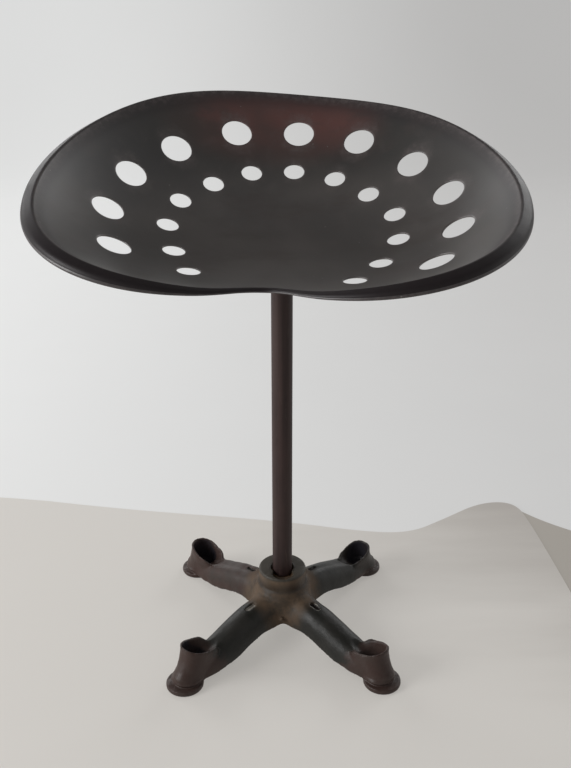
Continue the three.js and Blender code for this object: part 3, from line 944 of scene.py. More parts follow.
@dataclass
class SeatPan:
    """The pressed, perforated seat with its turned-down rim."""

    form: PanForm
    place: SeatPlace
    crest_radius: float = 3.0
    least_crest: float = 1.9
    flange_length: float = 5.0
    flange_tilt: float = math.radians(25)
    shoulder_radius: float = 5.5
    curl_radius: float = 2.0
    curl_bulge: float = 0.5
    notch_share: float = 0.75
    notch_half_width: float = 75.0
    large_radius: float = 14.7
    small_radius: float = 9.8
    edge_round: float = 0.45
    hole_margins: tuple[float, ...] = (0.0, 0.2, 0.6, 2.2)
    clear_margin: float = 4.2
    large_steps: int = 44
    small_steps: int = 34
    sheet_rows: int = 40
    rim_shares: Pair = (0.968, 0.984)
    mean_share: float = 0.86
    row_turn: float = 0.382
    least_points: int = 8
    point_spacing: float = 4.2
    rim_points: int = 300
    # Wear on the lip's rings; on the crest and the curl's outer half it also paints a highlight
    crest_wear_and_highlight: tuple[float, ...] = (0.8, 0.7, 0.45, 0.2, 0.1, 0.05)
    shoulder_wear: float = 0.03
    curl_wear_and_highlight: Pair = (0.5, 0.1)
    worn_and_highlit_curl_rings: int = 5
    # Holes of the right half and of the middle line, as shares of the pan's reach
    large_places: tuple[Pair, ...] = (
        (0.66, -0.36),
        (0.755, -0.1),
        (0.72, 0.18),
        (0.56, 0.425),
        (0.3, 0.625),
        (0, 0.69),
    )
    small_places: tuple[Pair, ...] = (
        (0.34, -0.41),
        (0.44, -0.225),
        (0.51, -0.02),
        (0.49, 0.17),
        (0.365, 0.33),
        (0.2, 0.45),
        (0, 0.495),
    )
    lip_wear_and_highlight: list[float] = field(default_factory=list)
    flat: list[Pair] = field(default_factory=list)
    edges: list[tuple[int, int]] = field(default_factory=list)

    def build(self) -> bpy.types.Object:
        """Builds the pan.

        Returns:
            The piece.
        """
        rim_ring = self.add_ring(*self.rim_places())
        hole_rings = [self.add_hole(*hole) for hole in self.holes()]
        self.add_sheet_points()
        points, triangles, found = self.triangles(rim_ring, [rings[0] for rings in hole_rings])
        x, y = points.T
        square = self.form.upward(x, y)
        sunk = np.zeros(len(x))
        for rings in hole_rings:
            for ring, depth in zip(rings, (self.edge_round, self.edge_round * 0.3)):
                sunk[[found[i] for i in ring]] = depth
        height = self.form.height(x, y) + self.form.dents(x, y)
        middle = np.column_stack((x, y, height)) - square * self.form.sheet / 2
        half = (self.form.sheet / 2 - sunk)[:, None]
        top, under = middle + square * half, middle - square * half
        count = len(points)
        faces = [tuple(t) for t in triangles] + [tuple(count + i for i in reversed(t)) for t in triangles]
        for rings in hole_rings:
            faces += self.wall([found[i] for i in rings[0]], count)
        lip = self.lip_rings()
        rim = [found[i] for i in rim_ring]
        faces += self.lip_faces(rim, [count + i for i in rim], 2 * count, len(lip))
        places = np.vstack((top, under, *lip))
        piece = make_mesh("seat_pan_pressing", self.place.from_dish(places), faces, 50)
        self.keep_wear(piece, points, len(lip))
        return piece

    def holes(self) -> list[Triple]:
        """Works out where the holes are.

        Returns:
            Place across, place from front to back, and radius of each hole.
        """
        made = []
        reach = self.form.reach
        rows = ((self.large_places, self.large_radius), (self.small_places, self.small_radius))
        for places, radius in rows:
            for x, y in places:
                sides = (1, -1) if x else (1,)
                made += [(side * x * reach, y * reach, radius) for side in sides]
        return made

    def rim_places(self) -> tuple[Array, Array]:
        """Places along the rim, clockwise from the back.

        Returns:
            Places across, and places from front to back.
        """
        angle = np.arange(self.rim_points) * FULL_TURN / self.rim_points
        reach = self.form.rim_reach(angle)
        return reach * np.sin(angle), reach * np.cos(angle) - self.form.forward

    def add_ring(self, x: Array, y: Array) -> list[int]:
        """Adds a closed ring of points that triangle edges follow.

        Args:
            x: Places across.
            y: Places from front to back.

        Returns:
            The numbers of the points.
        """
        first = len(self.flat)
        self.flat += list(zip(x.tolist(), y.tolist()))
        ring = list(range(first, len(self.flat)))
        self.edges += list(zip(ring, ring[1:] + ring[:1]))
        return ring

    def add_hole(self, x: float, y: float, radius: float) -> list[list[int]]:
        """Adds the rings of one hole, from its edge outward.

        Args:
            x: Centre across.
            y: Centre from front to back.
            radius: The hole's radius, square to the sheet.

        Returns:
            The rings' point numbers.
        """
        square = self.form.upward(np.array(x), np.array(y))
        first = np.cross((0.0, 1.0, 0.0), square)
        first /= np.linalg.norm(first)
        second = np.cross(square, first)
        steps = self.large_steps if radius == self.large_radius else self.small_steps
        angle = np.arange(steps) * FULL_TURN / steps
        rings = []
        for extra in self.hole_margins:
            ring = (radius + extra) * (np.outer(np.cos(angle), first) + np.outer(np.sin(angle), second))
            rings.append(self.add_ring(x + ring[:, 0], y + ring[:, 1]))
        return rings

    def add_sheet_points(self) -> None:
        """Spreads points over the sheet, clear of the holes and the rim."""
        holes = self.holes()
        rows = (np.arange(self.sheet_rows) + 0.5) / (self.sheet_rows + 2)
        for row, share in enumerate(np.concatenate((rows, self.rim_shares))):
            length = FULL_TURN * share * self.mean_share * self.form.reach
            count = max(self.least_points, round(length / self.point_spacing))
            angle = (np.arange(count) + self.row_turn * row) * FULL_TURN / count
            reach = share * self.form.rim_reach(angle)
            x, y = reach * np.sin(angle), reach * np.cos(angle) - self.form.forward
            clear = np.ones(count, bool)
            for hole_x, hole_y, radius in holes:
                clear &= np.hypot(x - hole_x, y - hole_y) > radius + self.clear_margin
            self.flat += list(zip(x[clear].tolist(), y[clear].tolist()))

    def triangles(self, rim: list[int], hole_edges: list[list[int]]) -> tuple[Array, list, dict[int, int]]:
        """Triangles between the flat points, without those in the holes and outside the rim.

        Args:
            rim: The rim's points.
            hole_edges: The points on each hole's edge.

        Returns:
            Points, triangles and the new number of each added point.
        """
        vectors = [Vector(point) for point in self.flat]
        made = delaunay_2d_cdt(vectors, self.edges, [], 0, 1e-5)
        points = np.array([tuple(point) for point in made[0]])
        found = {old: new for new, olds in enumerate(made[3]) for old in olds}
        on_hole = {found[i]: number for number, ring in enumerate(hole_edges) for i in ring}
        on_rim = {found[i] for i in rim}
        kept = []
        for face in made[2]:
            homes = {on_hole.get(i, -1 - i) for i in face}
            if len(homes) == 1:
                continue
            if all(i in on_rim for i in face):
                x, y = points[list(face)].mean(0)
                if self.form.share(x, y) > 1:
                    continue
            a, b, c = points[list(face)]
            upward = np.cross(b - a, c - a) > 0
            kept.append(tuple(face) if upward else tuple(reversed(face)))
        return points, kept, found

    def wall(self, ring: list[int], count: int) -> Faces:
        """The wall of a hole, between its edges above and below."""
        after = ring[1:] + ring[:1]
        return [(a, b, count + b, count + a) for a, b in zip(ring, after)]

    def lip_rings(self) -> list[Array]:
        """Rings of the lip: over the crest, down the flange and shoulder, round the curl and back up inside.

        Returns:
            Rings of points, in the pan's frame.
        """
        turn = np.arange(self.rim_points) * FULL_TURN / self.rim_points
        x, y = self.rim_places()
        z = self.form.height(x, y)
        before, after = np.roll(np.stack((x, y)), 1, 1), np.roll(np.stack((x, y)), -1, 1)
        run = after - before
        outward = np.stack((-run[1], run[0])) / np.hypot(*run)
        inner = self.form.height(x - outward[0] * self.form.sheet, y - outward[1] * self.form.sheet)
        slope = np.arctan((z - inner) / self.form.sheet)
        notch = np.where(np.cos(turn) < 0, self.notch_share * np.exp(-((x / self.notch_half_width) ** 2)), 0)
        full = 1 - notch
        tilt, sheet, bulge = self.flange_tilt, self.form.sheet, self.curl_bulge * full
        crest = np.maximum(self.crest_radius * full, self.least_crest)
        flange = self.flange_length * full
        shoulder = np.maximum(self.shoulder_radius * full, sheet + 0.1)
        curl = np.maximum(self.curl_radius * full, sheet / 2)
        across = crest * (np.sin(slope) + math.sin(tilt)) + flange * math.cos(tilt)
        rise = crest * (math.cos(tilt) - np.cos(slope)) - flange * math.sin(tilt)
        middle_out, middle_up = across - shoulder * math.sin(tilt), rise - shoulder * math.cos(tilt)

        def at(out: Array, up: Array) -> Array:
            """Points at a distance outward from the rim and a height over it."""
            return np.column_stack((x + outward[0] * out, y + outward[1] * out, z + up))

        def on_crest(radius: Array, share: float) -> Array:
            """Ring on the crest, from the sheet at share 0 to the flange at 1."""
            bend = share * (slope + tilt) - slope
            out = crest * np.sin(slope) + radius * np.sin(bend)
            return at(out, radius * np.cos(bend) - crest * np.cos(slope))

        def on_shoulder(radius: Array, share: float) -> Array:
            """Ring on the shoulder, from the flange at share 0 to straight out at 1."""
            bend = tilt + share * (math.pi / 2 - tilt)
            return at(middle_out + radius * math.sin(bend), middle_up + radius * math.cos(bend))

        start = np.arccos((curl - bulge) / curl)
        end = np.arccos(np.clip((curl - bulge - sheet) / curl, -1, 1)) - FULL_TURN

        def on_curl(share: float) -> Array:
            """Ring on the curl, from the shoulder's outside at share 0 round to its inside at 1."""
            bend = start + share * (end - start)
            centre = middle_out + shoulder + bulge - curl
            return at(centre + curl * np.cos(bend), middle_up + curl * (np.sin(bend) - np.sin(start)))

        crest_rings = [on_crest(crest, share) for share in np.linspace(0.14, 1, 6)]
        shoulder_rings = [on_shoulder(shoulder, share) for share in np.linspace(0, 0.97, 6)]
        curl_rings = [on_curl(share) for share in np.linspace(0, 1, 14)]
        inside = [on_shoulder(shoulder - sheet, share) for share in np.linspace(0.9, 0, 4)]
        inside += [on_crest(crest - sheet, share) for share in (0.8, 0.5, 0.2)]
        # wear of each lip ring, which on the crest and the curl's outer half is also a painted highlight
        self.lip_wear_and_highlight = [
            *self.crest_wear_and_highlight,
            *[self.shoulder_wear] * len(shoulder_rings),
            *[self.curl_wear_and_highlight[0]] * self.worn_and_highlit_curl_rings,
            *[self.curl_wear_and_highlight[1]] * (len(curl_rings) - self.worn_and_highlit_curl_rings),
            *[0.0] * len(inside),
        ]
        return [*crest_rings, *shoulder_rings, *curl_rings, *inside]

    def lip_faces(self, top: list[int], under: list[int], first: int, count: int) -> Faces:
        """Faces from the sheet's upper rim over the lip's rings to its lower rim.

        Args:
            top: The upper rim's points.
            under: The lower rim's points.
            first: Number of the first point of the first ring.
            count: Number of rings.

        Returns:
            Four-cornered faces.
        """
        size = len(top)
        rings = [top, *[list(range(first + r * size, first + (r + 1) * size)) for r in range(count)], under]
        faces: Faces = []
        for here, there in zip(rings, rings[1:]):
            for step in range(size):
                after = (step + 1) % size
                faces.append((here[after], here[step], there[step], there[after]))
        return faces

    def keep_wear(self, piece: bpy.types.Object, points: Array, lip_count: int) -> None:
        """Keeps how near each point is to the rim, which the paint darkens with painted shade, and to a worn
        edge, which on the crest and the curl is also a painted highlight.

        Args:
            piece: The pan.
            points: The sheet's flat points.
            lip_count: Number of rings on the lip.
        """
        x, y = points.T
        share = self.form.share(x, y)
        rim = np.clip((share - 0.93) / 0.07, 0, 1)
        # the sheet just inside the crest is worn lighter, partly a painted highlight
        edge = np.clip((share - 0.97) / 0.03, 0, 1) * 0.8
        for hole_x, hole_y, radius in self.holes():
            away = np.hypot(x - hole_x, y - hole_y) - radius
            edge = np.maximum(edge, np.exp(-np.clip(away, 0, None) / 0.9) * 0.8)
        keep_values(piece, "rim", np.concatenate((rim, rim, np.ones(lip_count * self.rim_points))))
        on_lip = np.repeat(self.lip_wear_and_highlight, self.rim_points)
        keep_values(piece, "edge", np.concatenate((edge, edge * 0.5, on_lip)))


@dataclass
class SeatFixing:
    """Saddle plate under the pan, and the weld beads round it and round the post's top."""

    form: PanForm
    place: SeatPlace
    gap: float = 0.3
    saddle_radius: float = 42.0
    saddle_thickness: float = 4.0
    saddle_bevel: float = 0.8
    saddle_rings: tuple[float, ...] = (6.0, 14.0, 24.0, 34.0)
    saddle_weld: float = 4.0
    saddle_ripples: int = 62
    post_radius: float = 10.0
    post_weld: float = 5.0
    post_ripples: int = 22
    post_ripple_start: float = 0.7
    ripple: float = 0.22
    bead_swell: float = 0.16
    bead_sink: float = 0.02
    steps: int = 120

    def draped(self, section: Sequence[tuple], joined: bool) -> tuple[Array, Faces]:
        """Rings about the post's axis whose heights follow the pan.

        Args:
            section: Distance and height function of each ring, outward on top and inward below. A
                bead's distance is a function too.
            joined: Whether the last ring joins the first.

        Returns:
            Points and faces.
        """
        angle = np.arange(self.steps) * FULL_TURN / self.steps
        rings = []
        for distance, height_at in section:
            reach = distance(angle) if callable(distance) else np.full(self.steps, distance)
            x, y = reach * np.cos(angle), reach * np.sin(angle)
            rings.append(np.column_stack((x, y, height_at(x, y))))
        faces = [tuple(reversed(face)) for face in ring_faces(len(rings), self.steps, joined)]
        if not joined:
            faces.append(tuple(range(self.steps)))
            last = (len(rings) - 1) * self.steps
            faces.append(tuple(reversed(range(last, last + self.steps))))
        return np.vstack(rings), faces

    def build_saddle(self) -> bpy.types.Object:
        """Builds the dished round plate.

        Returns:
            The piece.
        """
        top = self.form.sheet + self.gap
        bottom = top + self.saddle_thickness
        edge, bevel = self.saddle_radius, self.saddle_bevel
        inner = [*self.saddle_rings, edge - bevel]
        upper = [(radius, top) for radius in inner] + [(edge, top + bevel)]
        lower = [(edge, bottom - bevel)] + [(radius, bottom) for radius in reversed(inner)]
        section = [(radius, self.below(depth)) for radius, depth in upper + lower]
        places, faces = self.draped(section, False)
        return make_mesh("saddle_plate_dished", self.place.from_dish(places), faces)

    def below(self, depth: float) -> Callable:
        """A function that gives the height at a depth below the pan."""
        return lambda x, y: self.form.below(x, y, depth)

    def bead(
        self, face: float, leg: float, height_at: Callable, ripples: int, start: float
    ) -> tuple[Array, Faces]:
        """A rippled fillet of weld metal under a surface, round an upright face.

        Args:
            face: Radius of the upright face.
            leg: Length of the weld's legs.
            height_at: Height of the surface above.
            ripples: Ripples round the bead.
            start: Angle by which the ripples are turned.

        Returns:
            Points and faces.
        """
        near = face + self.gap

        def bulged(share: float) -> Callable:
            """Distance of the bead's face at a share of its height."""
            arch = math.sin(math.pi * share)
            middle = near + leg * (1 - share - self.bead_sink + self.bead_swell * arch)
            return lambda angle: middle + self.ripple * arch * np.cos(ripples * (angle + start))

        def lowered(drop: float) -> Callable:
            """Height at a drop below the surface above."""
            return lambda x, y: height_at(x, y) - drop

        shares = (0.0, 0.2, 0.4, 0.6, 0.8, 1.0)
        section = [(near, lowered(0.0))] + [(bulged(share), lowered(leg * share)) for share in shares]
        return self.draped(section, True)

    def build_saddle_weld(self) -> bpy.types.Object:
        """Builds the bead round the saddle plate.

        Returns:
            The piece.
        """
        height_at = self.below(self.form.sheet + self.gap)
        places, faces = self.bead(self.saddle_radius, self.saddle_weld, height_at, self.saddle_ripples, 0.0)
        return make_mesh("saddle_weld_bead", self.place.from_dish(places), faces, 60)

    def build_post_weld(self) -> bpy.types.Object:
        """Builds the bead round the post's top.

        Returns:
            The piece.
        """
        start = self.post_ripple_start
        places, faces = self.bead(self.post_radius, self.post_weld, self.post_top, self.post_ripples, start)
        return make_mesh("post_weld_bead", self.place.from_post(places), faces, 60)

    def post_top(self, x: Array, y: Array) -> Array:
        """Height of the post's top, just under the saddle."""
        depth = self.form.sheet + self.saddle_thickness + 2 * self.gap
        return self.place.leaning_height(self.form, x, y, depth)


@dataclass
class Post:
    """The round post with its shoulder, spigot and the fastening on it."""

    fixing: SeatFixing
    place: SeatPlace
    radius: float = 10.0
    spigot_radius: float = 6.0
    shoulder: float = 34.6
    bottom: float = 10.3
    washer_bottom: float = 21.7
    washer_radius: float = 12.0
    washer_thickness: float = 2.0
    washer_gap: float = 0.3
    washer_round: float = 0.35
    edge: float = 0.4
    tip: float = 1.0
    raw_top: float = 412.0
    end_length: float = 6.0
    bar_rings: int = 40
    steps: int = 96

    def build_post(self) -> bpy.types.Object:
        """Builds the post, whose top follows the saddle plate.

        Returns:
            The piece.
        """
        outline = [
            (0, self.bottom),
            (self.spigot_radius - self.tip, self.bottom),
            (self.spigot_radius, self.bottom + self.tip),
            (self.spigot_radius, self.shoulder),
            (self.radius - self.edge, self.shoulder),
            (self.radius, self.shoulder + self.edge),
        ]
        low, high = self.shoulder + self.end_length, self.raw_top - self.end_length
        outline += [(self.radius, height) for height in np.linspace(low, high, self.bar_rings)]
        outline += [(self.radius, self.raw_top), (0, self.raw_top)]
        places, faces = turned(outline, self.steps, False)
        top = places[:, 2] > self.raw_top - 1
        places[top, 2] = self.fixing.post_top(places[top, 0], places[top, 1])
        return make_mesh("post_bar", self.place.from_post(places), faces)

    def build_washer(self) -> bpy.types.Object:
        """Builds the washer under the hub.

        Returns:
            The piece.
        """
        inner, outer = self.spigot_radius + self.washer_gap, self.washer_radius
        low, high = self.washer_bottom, self.washer_bottom + self.washer_thickness
        outline = [(inner, low), (outer, low), (outer, high), (inner, high)]
        outline = rounded(outline, self.washer_round)
        places, faces = turned(outline, self.steps, True)
        return make_mesh("retaining_washer_plain", self.place.from_post(places), faces)


# Cast base


def smooth_union(first: Array, second: Array, width: float) -> Array:
    """Joins two solids given by distances, with a fillet.

    Args:
        first: Distances to one solid.
        second: Distances to the other.
        width: Width over which they blend.

    Returns:
        Distances to both as one.
    """
    share = np.clip(0.5 + 0.5 * (second - first) / width, 0, 1)
    return second + (first - second) * share - width * share * (1 - share)


def smooth_cut(solid: Array, cutter: Array, width: float) -> Array:
    """Cuts one solid from another, with a rounded edge.

    Args:
        solid: Distances to the solid.
        cutter: Distances to what is cut away.
        width: Width over which the edge is rounded.

    Returns:
        Distances to what is left.
    """
    return -smooth_union(-solid, cutter, width)


def profile_distance(reach: Array, height: Array, outline: Sequence[Pair]) -> Array:
    """Distance to a turned solid's closed outline, negative inside.

    Args:
        reach: Distances from the solid's axis.
        height: Heights.
        outline: The outline's corners.

    Returns:
        Distances.
    """
    nearest = np.full(reach.shape, FAR)
    inside = np.zeros(reach.shape, bool)
    for (ax, ay), (bx, by) in zip(outline, [*outline[1:], outline[0]]):
        run_x, run_y = bx - ax, by - ay
        from_x, from_y = reach - ax, height - ay
        share = np.clip((from_x * run_x + from_y * run_y) / (run_x**2 + run_y**2), 0, 1)
        nearest = np.minimum(nearest, (from_x - share * run_x) ** 2 + (from_y - share * run_y) ** 2)
        if ay != by:
            crosses = ((ay <= height) != (by <= height)) & (from_x < from_y * run_x / run_y)
            inside ^= crosses
    return np.where(inside, -1, 1) * np.sqrt(nearest)


def oval_distance(first: Array, second: Array, sizes: tuple, power: Array) -> Array:
    """Distance to a squared oval, negative inside.

    Args:
        first: Offsets along the oval's first axis.
        second: Offsets along its second axis.
        sizes: Its half sizes.
        power: Its squareness, 2 for an ellipse.

    Returns:
        Distances, exact near the oval.
    """
    one, two = np.abs(first) / sizes[0], np.abs(second) / sizes[1]
    total = np.maximum((one**power + two**power) ** (1 / power), 0.05)
    steep = np.hypot((one / total) ** (power - 1) / sizes[0], (two / total) ** (power - 1) / sizes[1])
    return (total - 1) / np.maximum(steep, 0.01)


def soft_steps(places: Sequence[float], values: Sequence[float], width: float, length: float) -> tuple:
    """A smooth curve through stations, as a fine table.

    Args:
        places: The stations as shares of a length.
        values: The value at each.
        width: Length over which bends are softened.
        length: The whole length.

    Returns:
        Places and values of the table.
    """
    fine = np.linspace(-20, length + 20, 800)
    straight = np.interp(fine, np.array(places) * length, values)
    reach = max(1, round(width / (fine[1] - fine[0])))
    weights = np.hanning(2 * reach + 1)
    padded = np.pad(straight, reach, mode="edge")
    return fine, np.convolve(padded, weights / weights.sum(), mode="valid")


@dataclass(frozen=True)
class Leg:
    """One leg's turn about the hub, how far its boot's mouth is moved, and how wide its scoop is."""

    turn: float
    boot_lift: float
    boot_shift: float
    scoop: float = 1.0


@dataclass
class CastBase:
    """Hub, four arched legs, open boots and round feet, cast in one."""

    axis: Pair
    legs: tuple[Leg, ...] = (
        Leg(45, -3.2, 0, 1.15),
        Leg(135, 1.4, 1.5, 1.15),
        Leg(225, 3.2, -1.5),
        Leg(315, -0.4, 1.5),
    )
    grid_low: Triple = (-119, -119, -3)
    grid_high: Triple = (119, 119, 74)
    grid_step: float = 1.1
    kept_share: float = 0.36
    reach: float = 128.0
    half_width: float = 17.8
    crown: float = 46.0
    leg_wall: float = 4.5
    core_start: float = 24.0
    core_end: float = 94.0
    core_bottom: float = -4.0
    arch_power: float = 2.3
    bend_length: float = 9.0
    leg_start: float = 14.0
    stations: tuple[float, ...] = (0.11, 0.25, 0.375, 0.5, 0.62, 0.73, 0.83, 0.92, 1)
    crowns: tuple[float, ...] = (1.02, 1, 0.955, 0.88, 0.77, 0.67, 0.59, 0.54, 0.45)
    edges: tuple[float, ...] = (0.44, 0.44, 0.42, 0.34, 0.22, 0.17, 0.14, 0.12, 0.12)
    widths: tuple[float, ...] = (1, 1, 1, 1, 1, 0.98, 0.93, 0.85, 0.7)
    slot_distance: float = 46.5
    slot_length: float = 12.0
    slot_width: float = 4.8
    slot_floor: float = 41.6
    foot_distance: float = 135.5
    foot_radius: float = 18.4
    foot_height: float = 10.0
    foot_profile: tuple[Pair, ...] = (
        (0.96, -0.1),
        (0.96, 0),
        (1, 0.1),
        (1, 0.4),
        (0.96, 0.5),
        (0.5, 0.56),
    )
    foot_ring: tuple[Pair, ...] = (
        (0.5, 0.4),
        (0.77, 0.5),
        (0.77, 0.66),
        (0.84, 0.78),
        (0.84, 0.92),
        (0.78, 1.04),
        (0.5, 1.1),
    )
    foot_ring_shift: float = 3.0
    boot_height: float = 33.5
    mouth_distance: float = 118.0
    mouth_half_length: float = 18.8
    mouth_half_width: float = 14.5
    mouth_slope: float = 0.3
    mouth_droop: float = 0.07
    droop_start: float = 9.0
    boot_wall: float = 2.8
    boot_floor: float = 12.0
    # A boot's or a hollow's ring: shares of the height, the lean, the mouth's length, its width and
    # its slant, then the oval's squareness outboard and inboard
    boot_rings: tuple[tuple[float, ...], ...] = (
        (0, 0.2, 0.82, 0.98, 0, 2, 2),
        (0.12, 0.36, 0.96, 0.93, 0, 2.1, 2.2),
        (0.3, 0.65, 1.02, 0.93, 0.1, 2.2, 2.5),
        (0.55, 0.88, 1.02, 0.96, 0.5, 2.3, 2.8),
        (0.8, 1, 1, 1, 0.9, 2.3, 3.2),
        (1, 1, 1, 1, 1, 2.3, 3.2),
    )
    hollow_rings: tuple[tuple[float, ...], ...] = (
        (0, 0.55, 0.42, 0.5, 0, 2, 2),
        (0.14, 0.6, 0.6, 0.72, 0, 2, 2),
        (0.5, 0.75, 0.76, 0.9, 0.4, 2.2, 2.4),
        (1, 0.88, 0.88, 1, 1, 2.3, 2.4),
        (1.2, 0.86, 0.92, 1.03, 1, 2.3, 2.4),
    )
    scoop_place: Pair = (110.0, 38.0)
    scoop_sizes: Triple = (17.0, 12.0, 14.5)
    knob_place: Triple = (-1.3, -33.2, 28.0)
    knob_radius: float = 2.6
    pocket_place: Pair = (0.5, -12.3)
    pocket_radius: float = 10.3
    pocket_floor: float = 64.8
    hub_outline: tuple[Pair, ...] = (
        (-1, 21),
        (28.5, 21),
        (28.5, 45.5),
        (26, 52.7),
        (24.2, 54.5),
        (24.4, 56.3),
        (24.4, 68.8),
        (23.2, 70),
        (-1, 70),
    )
    # A ring of the skirt: its height, its radius between the legs, and what is added toward each leg
    skirt_rings: tuple[tuple[float, ...], ...] = (
        (21, 33.5, 34),
        (27.1, 32.5, 28.9),
        (33.25, 30.5, 20.4),
        (39.4, 28.5, 10.2),
        (45.5, 27.5, 0),
    )
    ledge_hole_radius: float = 6.3
    ledge_hole_top: float = 34.0
    foot_fillet: float = 1.0
    boot_fillet: float = 3.0
    skirt_fillet: float = 3.0
    leg_fillet: float = 6.0
    knob_fillet: float = 1.2
    scoop_fillet: float = 4.0
    core_round: float = 2.0
    mouth_round: float = 1.4
    sharp_round: float = 0.8
    skin_inset: float = 0.2
    wear_reach: float = 1.6
    under_outline: tuple[Pair, ...] = ((-1, -4), (29, -4), (29, 21), (16, 24), (-1, 24))
    bore_outline: tuple[Pair, ...] = ((-1, 32), (11.6, 32), (11.6, 69.3), (12.3, 70), (12.3, 76), (-1, 76))

    def leg_distance(self, along: Array, across: Array, up: Array, inset: float) -> Array:
        """Distance to a leg's arch, or with an inset to the core inside it.

        Args:
            along: Places along the leg.
            across: Places across it.
            up: Heights.
            inset: Thickness of the wall round the core, or 0 for the leg.

        Returns:
            Distances.
        """
        crown = self.along_leg(along, self.crowns, self.crown) - inset
        width = self.along_leg(along, self.widths, self.half_width) - inset
        if inset:
            edge = np.full_like(along, self.core_bottom)
        else:
            edge = self.along_leg(along, self.edges, self.crown)
        over = np.maximum(up - edge, 0)
        side = oval_distance(across, over, (width, crown - edge), self.arch_power)
        ends = (self.core_start, self.core_end) if inset else (self.leg_start, self.reach)
        return np.maximum.reduce((side, edge - up, ends[0] - along, along - ends[1]))

    def along_leg(self, along: Array, shares: Sequence[float], size: float) -> Array:
        """A size that changes smoothly along a leg.

        Args:
            along: Places along the leg.
            shares: Shares of the size at the stations.
            size: The whole size.

        Returns:
            The size at each place.
        """
        values = np.array(shares) * size
        return np.interp(along, *soft_steps(self.stations, values, self.bend_length, self.reach))

    def boot_distance(self, leg: Leg, places: tuple, hollow: bool) -> Array:
        """Distance to a boot's outside, or to the hollow in it.

        Args:
            leg: The boot's leg.
            places: Places along the leg, across it and up.
            hollow: Whether the hollow is asked for.

        Returns:
            Distances.
        """
        along, across, up = places
        rings = np.array(self.hollow_rings if hollow else self.boot_rings)
        bottom = self.boot_floor if hollow else self.foot_height
        wall = self.boot_wall if hollow else 0.0
        rise = self.boot_height + leg.boot_lift - bottom
        lean = self.foot_distance - self.mouth_distance - leg.boot_shift
        share = np.clip((up - bottom) / rise, 0, 1.2)
        for _ in range(5):
            offset = along - self.foot_distance + lean * np.interp(share, rings[:, 0], rings[:, 1])
            slant = self.mouth_slope * np.interp(share, rings[:, 0], rings[:, 4])
            share = (up - bottom - slant * offset) / rise
        length, width, outboard, inboard = (np.interp(share, rings[:, 0], rings[:, i]) for i in (2, 3, 5, 6))
        sizes = ((self.mouth_half_length - wall) * length, (self.mouth_half_width - wall) * width)
        side = oval_distance(offset, across, sizes, np.where(offset < 0, inboard, outboard))
        droop = 0.0 if hollow else self.mouth_droop * np.maximum(-offset - self.droop_start, 0) ** 2
        return np.maximum.reduce((side, (share - rings[-1, 0]) * rise + droop, bottom - up))

    def scoop_distance_at(self, leg: Leg, places: tuple) -> Array:
        """Distance to the rounded scoop by which a leg's top runs into its boot.

        Args:
            leg: The boot's leg.
            places: Places along the leg, across it and up.

        Returns:
            Distances.
        """
        along, across, up = places
        offset = along - self.scoop_place[0] - leg.boot_shift
        rise = up - self.scoop_place[1] - leg.boot_lift / 2
        sizes = [leg.scoop * size for size in self.scoop_sizes]
        offsets = (offset, across, rise)
        total = np.sqrt(sum((place / size) ** 2 for place, size in zip(offsets, sizes)))
        steep = np.sqrt(sum((place / size**2) ** 2 for place, size in zip(offsets, sizes)))
        return total * (total - 1) / np.maximum(steep, 0.01)

    def foot_distance_at(self, along: Array, across: Array, up: Array) -> Array:
        """Distance to a foot's turned disc, with the ring on it that stands a little nearer the hub.

        Args:
            along: Places along the leg.
            across: Places across it.
            up: Heights.

        Returns:
            Distances.
        """
        parts = []
        for outline, shift in ((self.foot_profile, 0.0), (self.foot_ring, self.foot_ring_shift)):
            profile = [(self.foot_radius * out, self.foot_height * height) for out, height in outline]
            profile = [(-1.0, profile[0][1]), *profile, (-1.0, profile[-1][1])]
            reach = np.hypot(along - self.foot_distance + shift, across)
            parts.append(profile_distance(reach, up, profile))
        return smooth_union(*parts, self.sharp_round)

    def slot_distance_at(self, along: Array, across: Array, up: Array) -> Array:
        """Distance to the blind slot in a leg's crown.

        Args:
            along: Places along the leg.
            across: Places across it.
            up: Heights.

        Returns:
            Distances.
        """
        straight = (self.slot_length - self.slot_width) / 2
        beyond = np.maximum(np.abs(along - self.slot_distance) - straight, 0)
        return np.maximum(np.hypot(beyond, across) - self.slot_width / 2, self.slot_floor - up)

    def hub_distance(self, x: Array, y: Array, up: Array) -> Array:
        """Distance to the hub with the skirt that runs out into the legs.

        Args:
            x: Places across.
            y: Places from front to back.
            up: Heights.

        Returns:
            Distances.
        """
        reach = np.hypot(x, y)
        rings = np.array(self.skirt_rings)
        toward_legs = (2 * x * y / np.maximum(reach, 0.1) ** 2) ** 4
        waist, spread = (np.interp(up, rings[:, 0], rings[:, column]) for column in (1, 2))
        radius = waist + toward_legs * spread
        skirt = np.maximum.reduce(((reach - radius) * 0.8, rings[0, 0] - up, up - rings[-1, 0]))
        return smooth_union(profile_distance(reach, up, self.hub_outline), skirt, self.skirt_fillet)

    def hollow_distance(self, places: Array) -> Array:
        """Distance to the nearest boot's hollow."""
        hollows = [self.boot_distance(leg, self.leg_places(places, leg), True) for leg in self.legs]
        return np.minimum.reduce(hollows)

    def slot_distance_of(self, places: Array) -> Array:
        """Distance to the nearest slot."""
        return np.minimum.reduce([self.slot_distance_at(*self.leg_places(places, leg)) for leg in self.legs])

    def leg_places(self, places: Array, leg: Leg) -> tuple[Array, Array, Array]:
        """Places along a leg, across it and up.

        Args:
            places: Points about the post's axis.
            leg: The leg.

        Returns:
            The three rows of places.
        """
        x, y, up = places.T
        cosine, sine = math.cos(math.radians(leg.turn)), math.sin(math.radians(leg.turn))
        return x * cosine + y * sine, y * cosine - x * sine, up

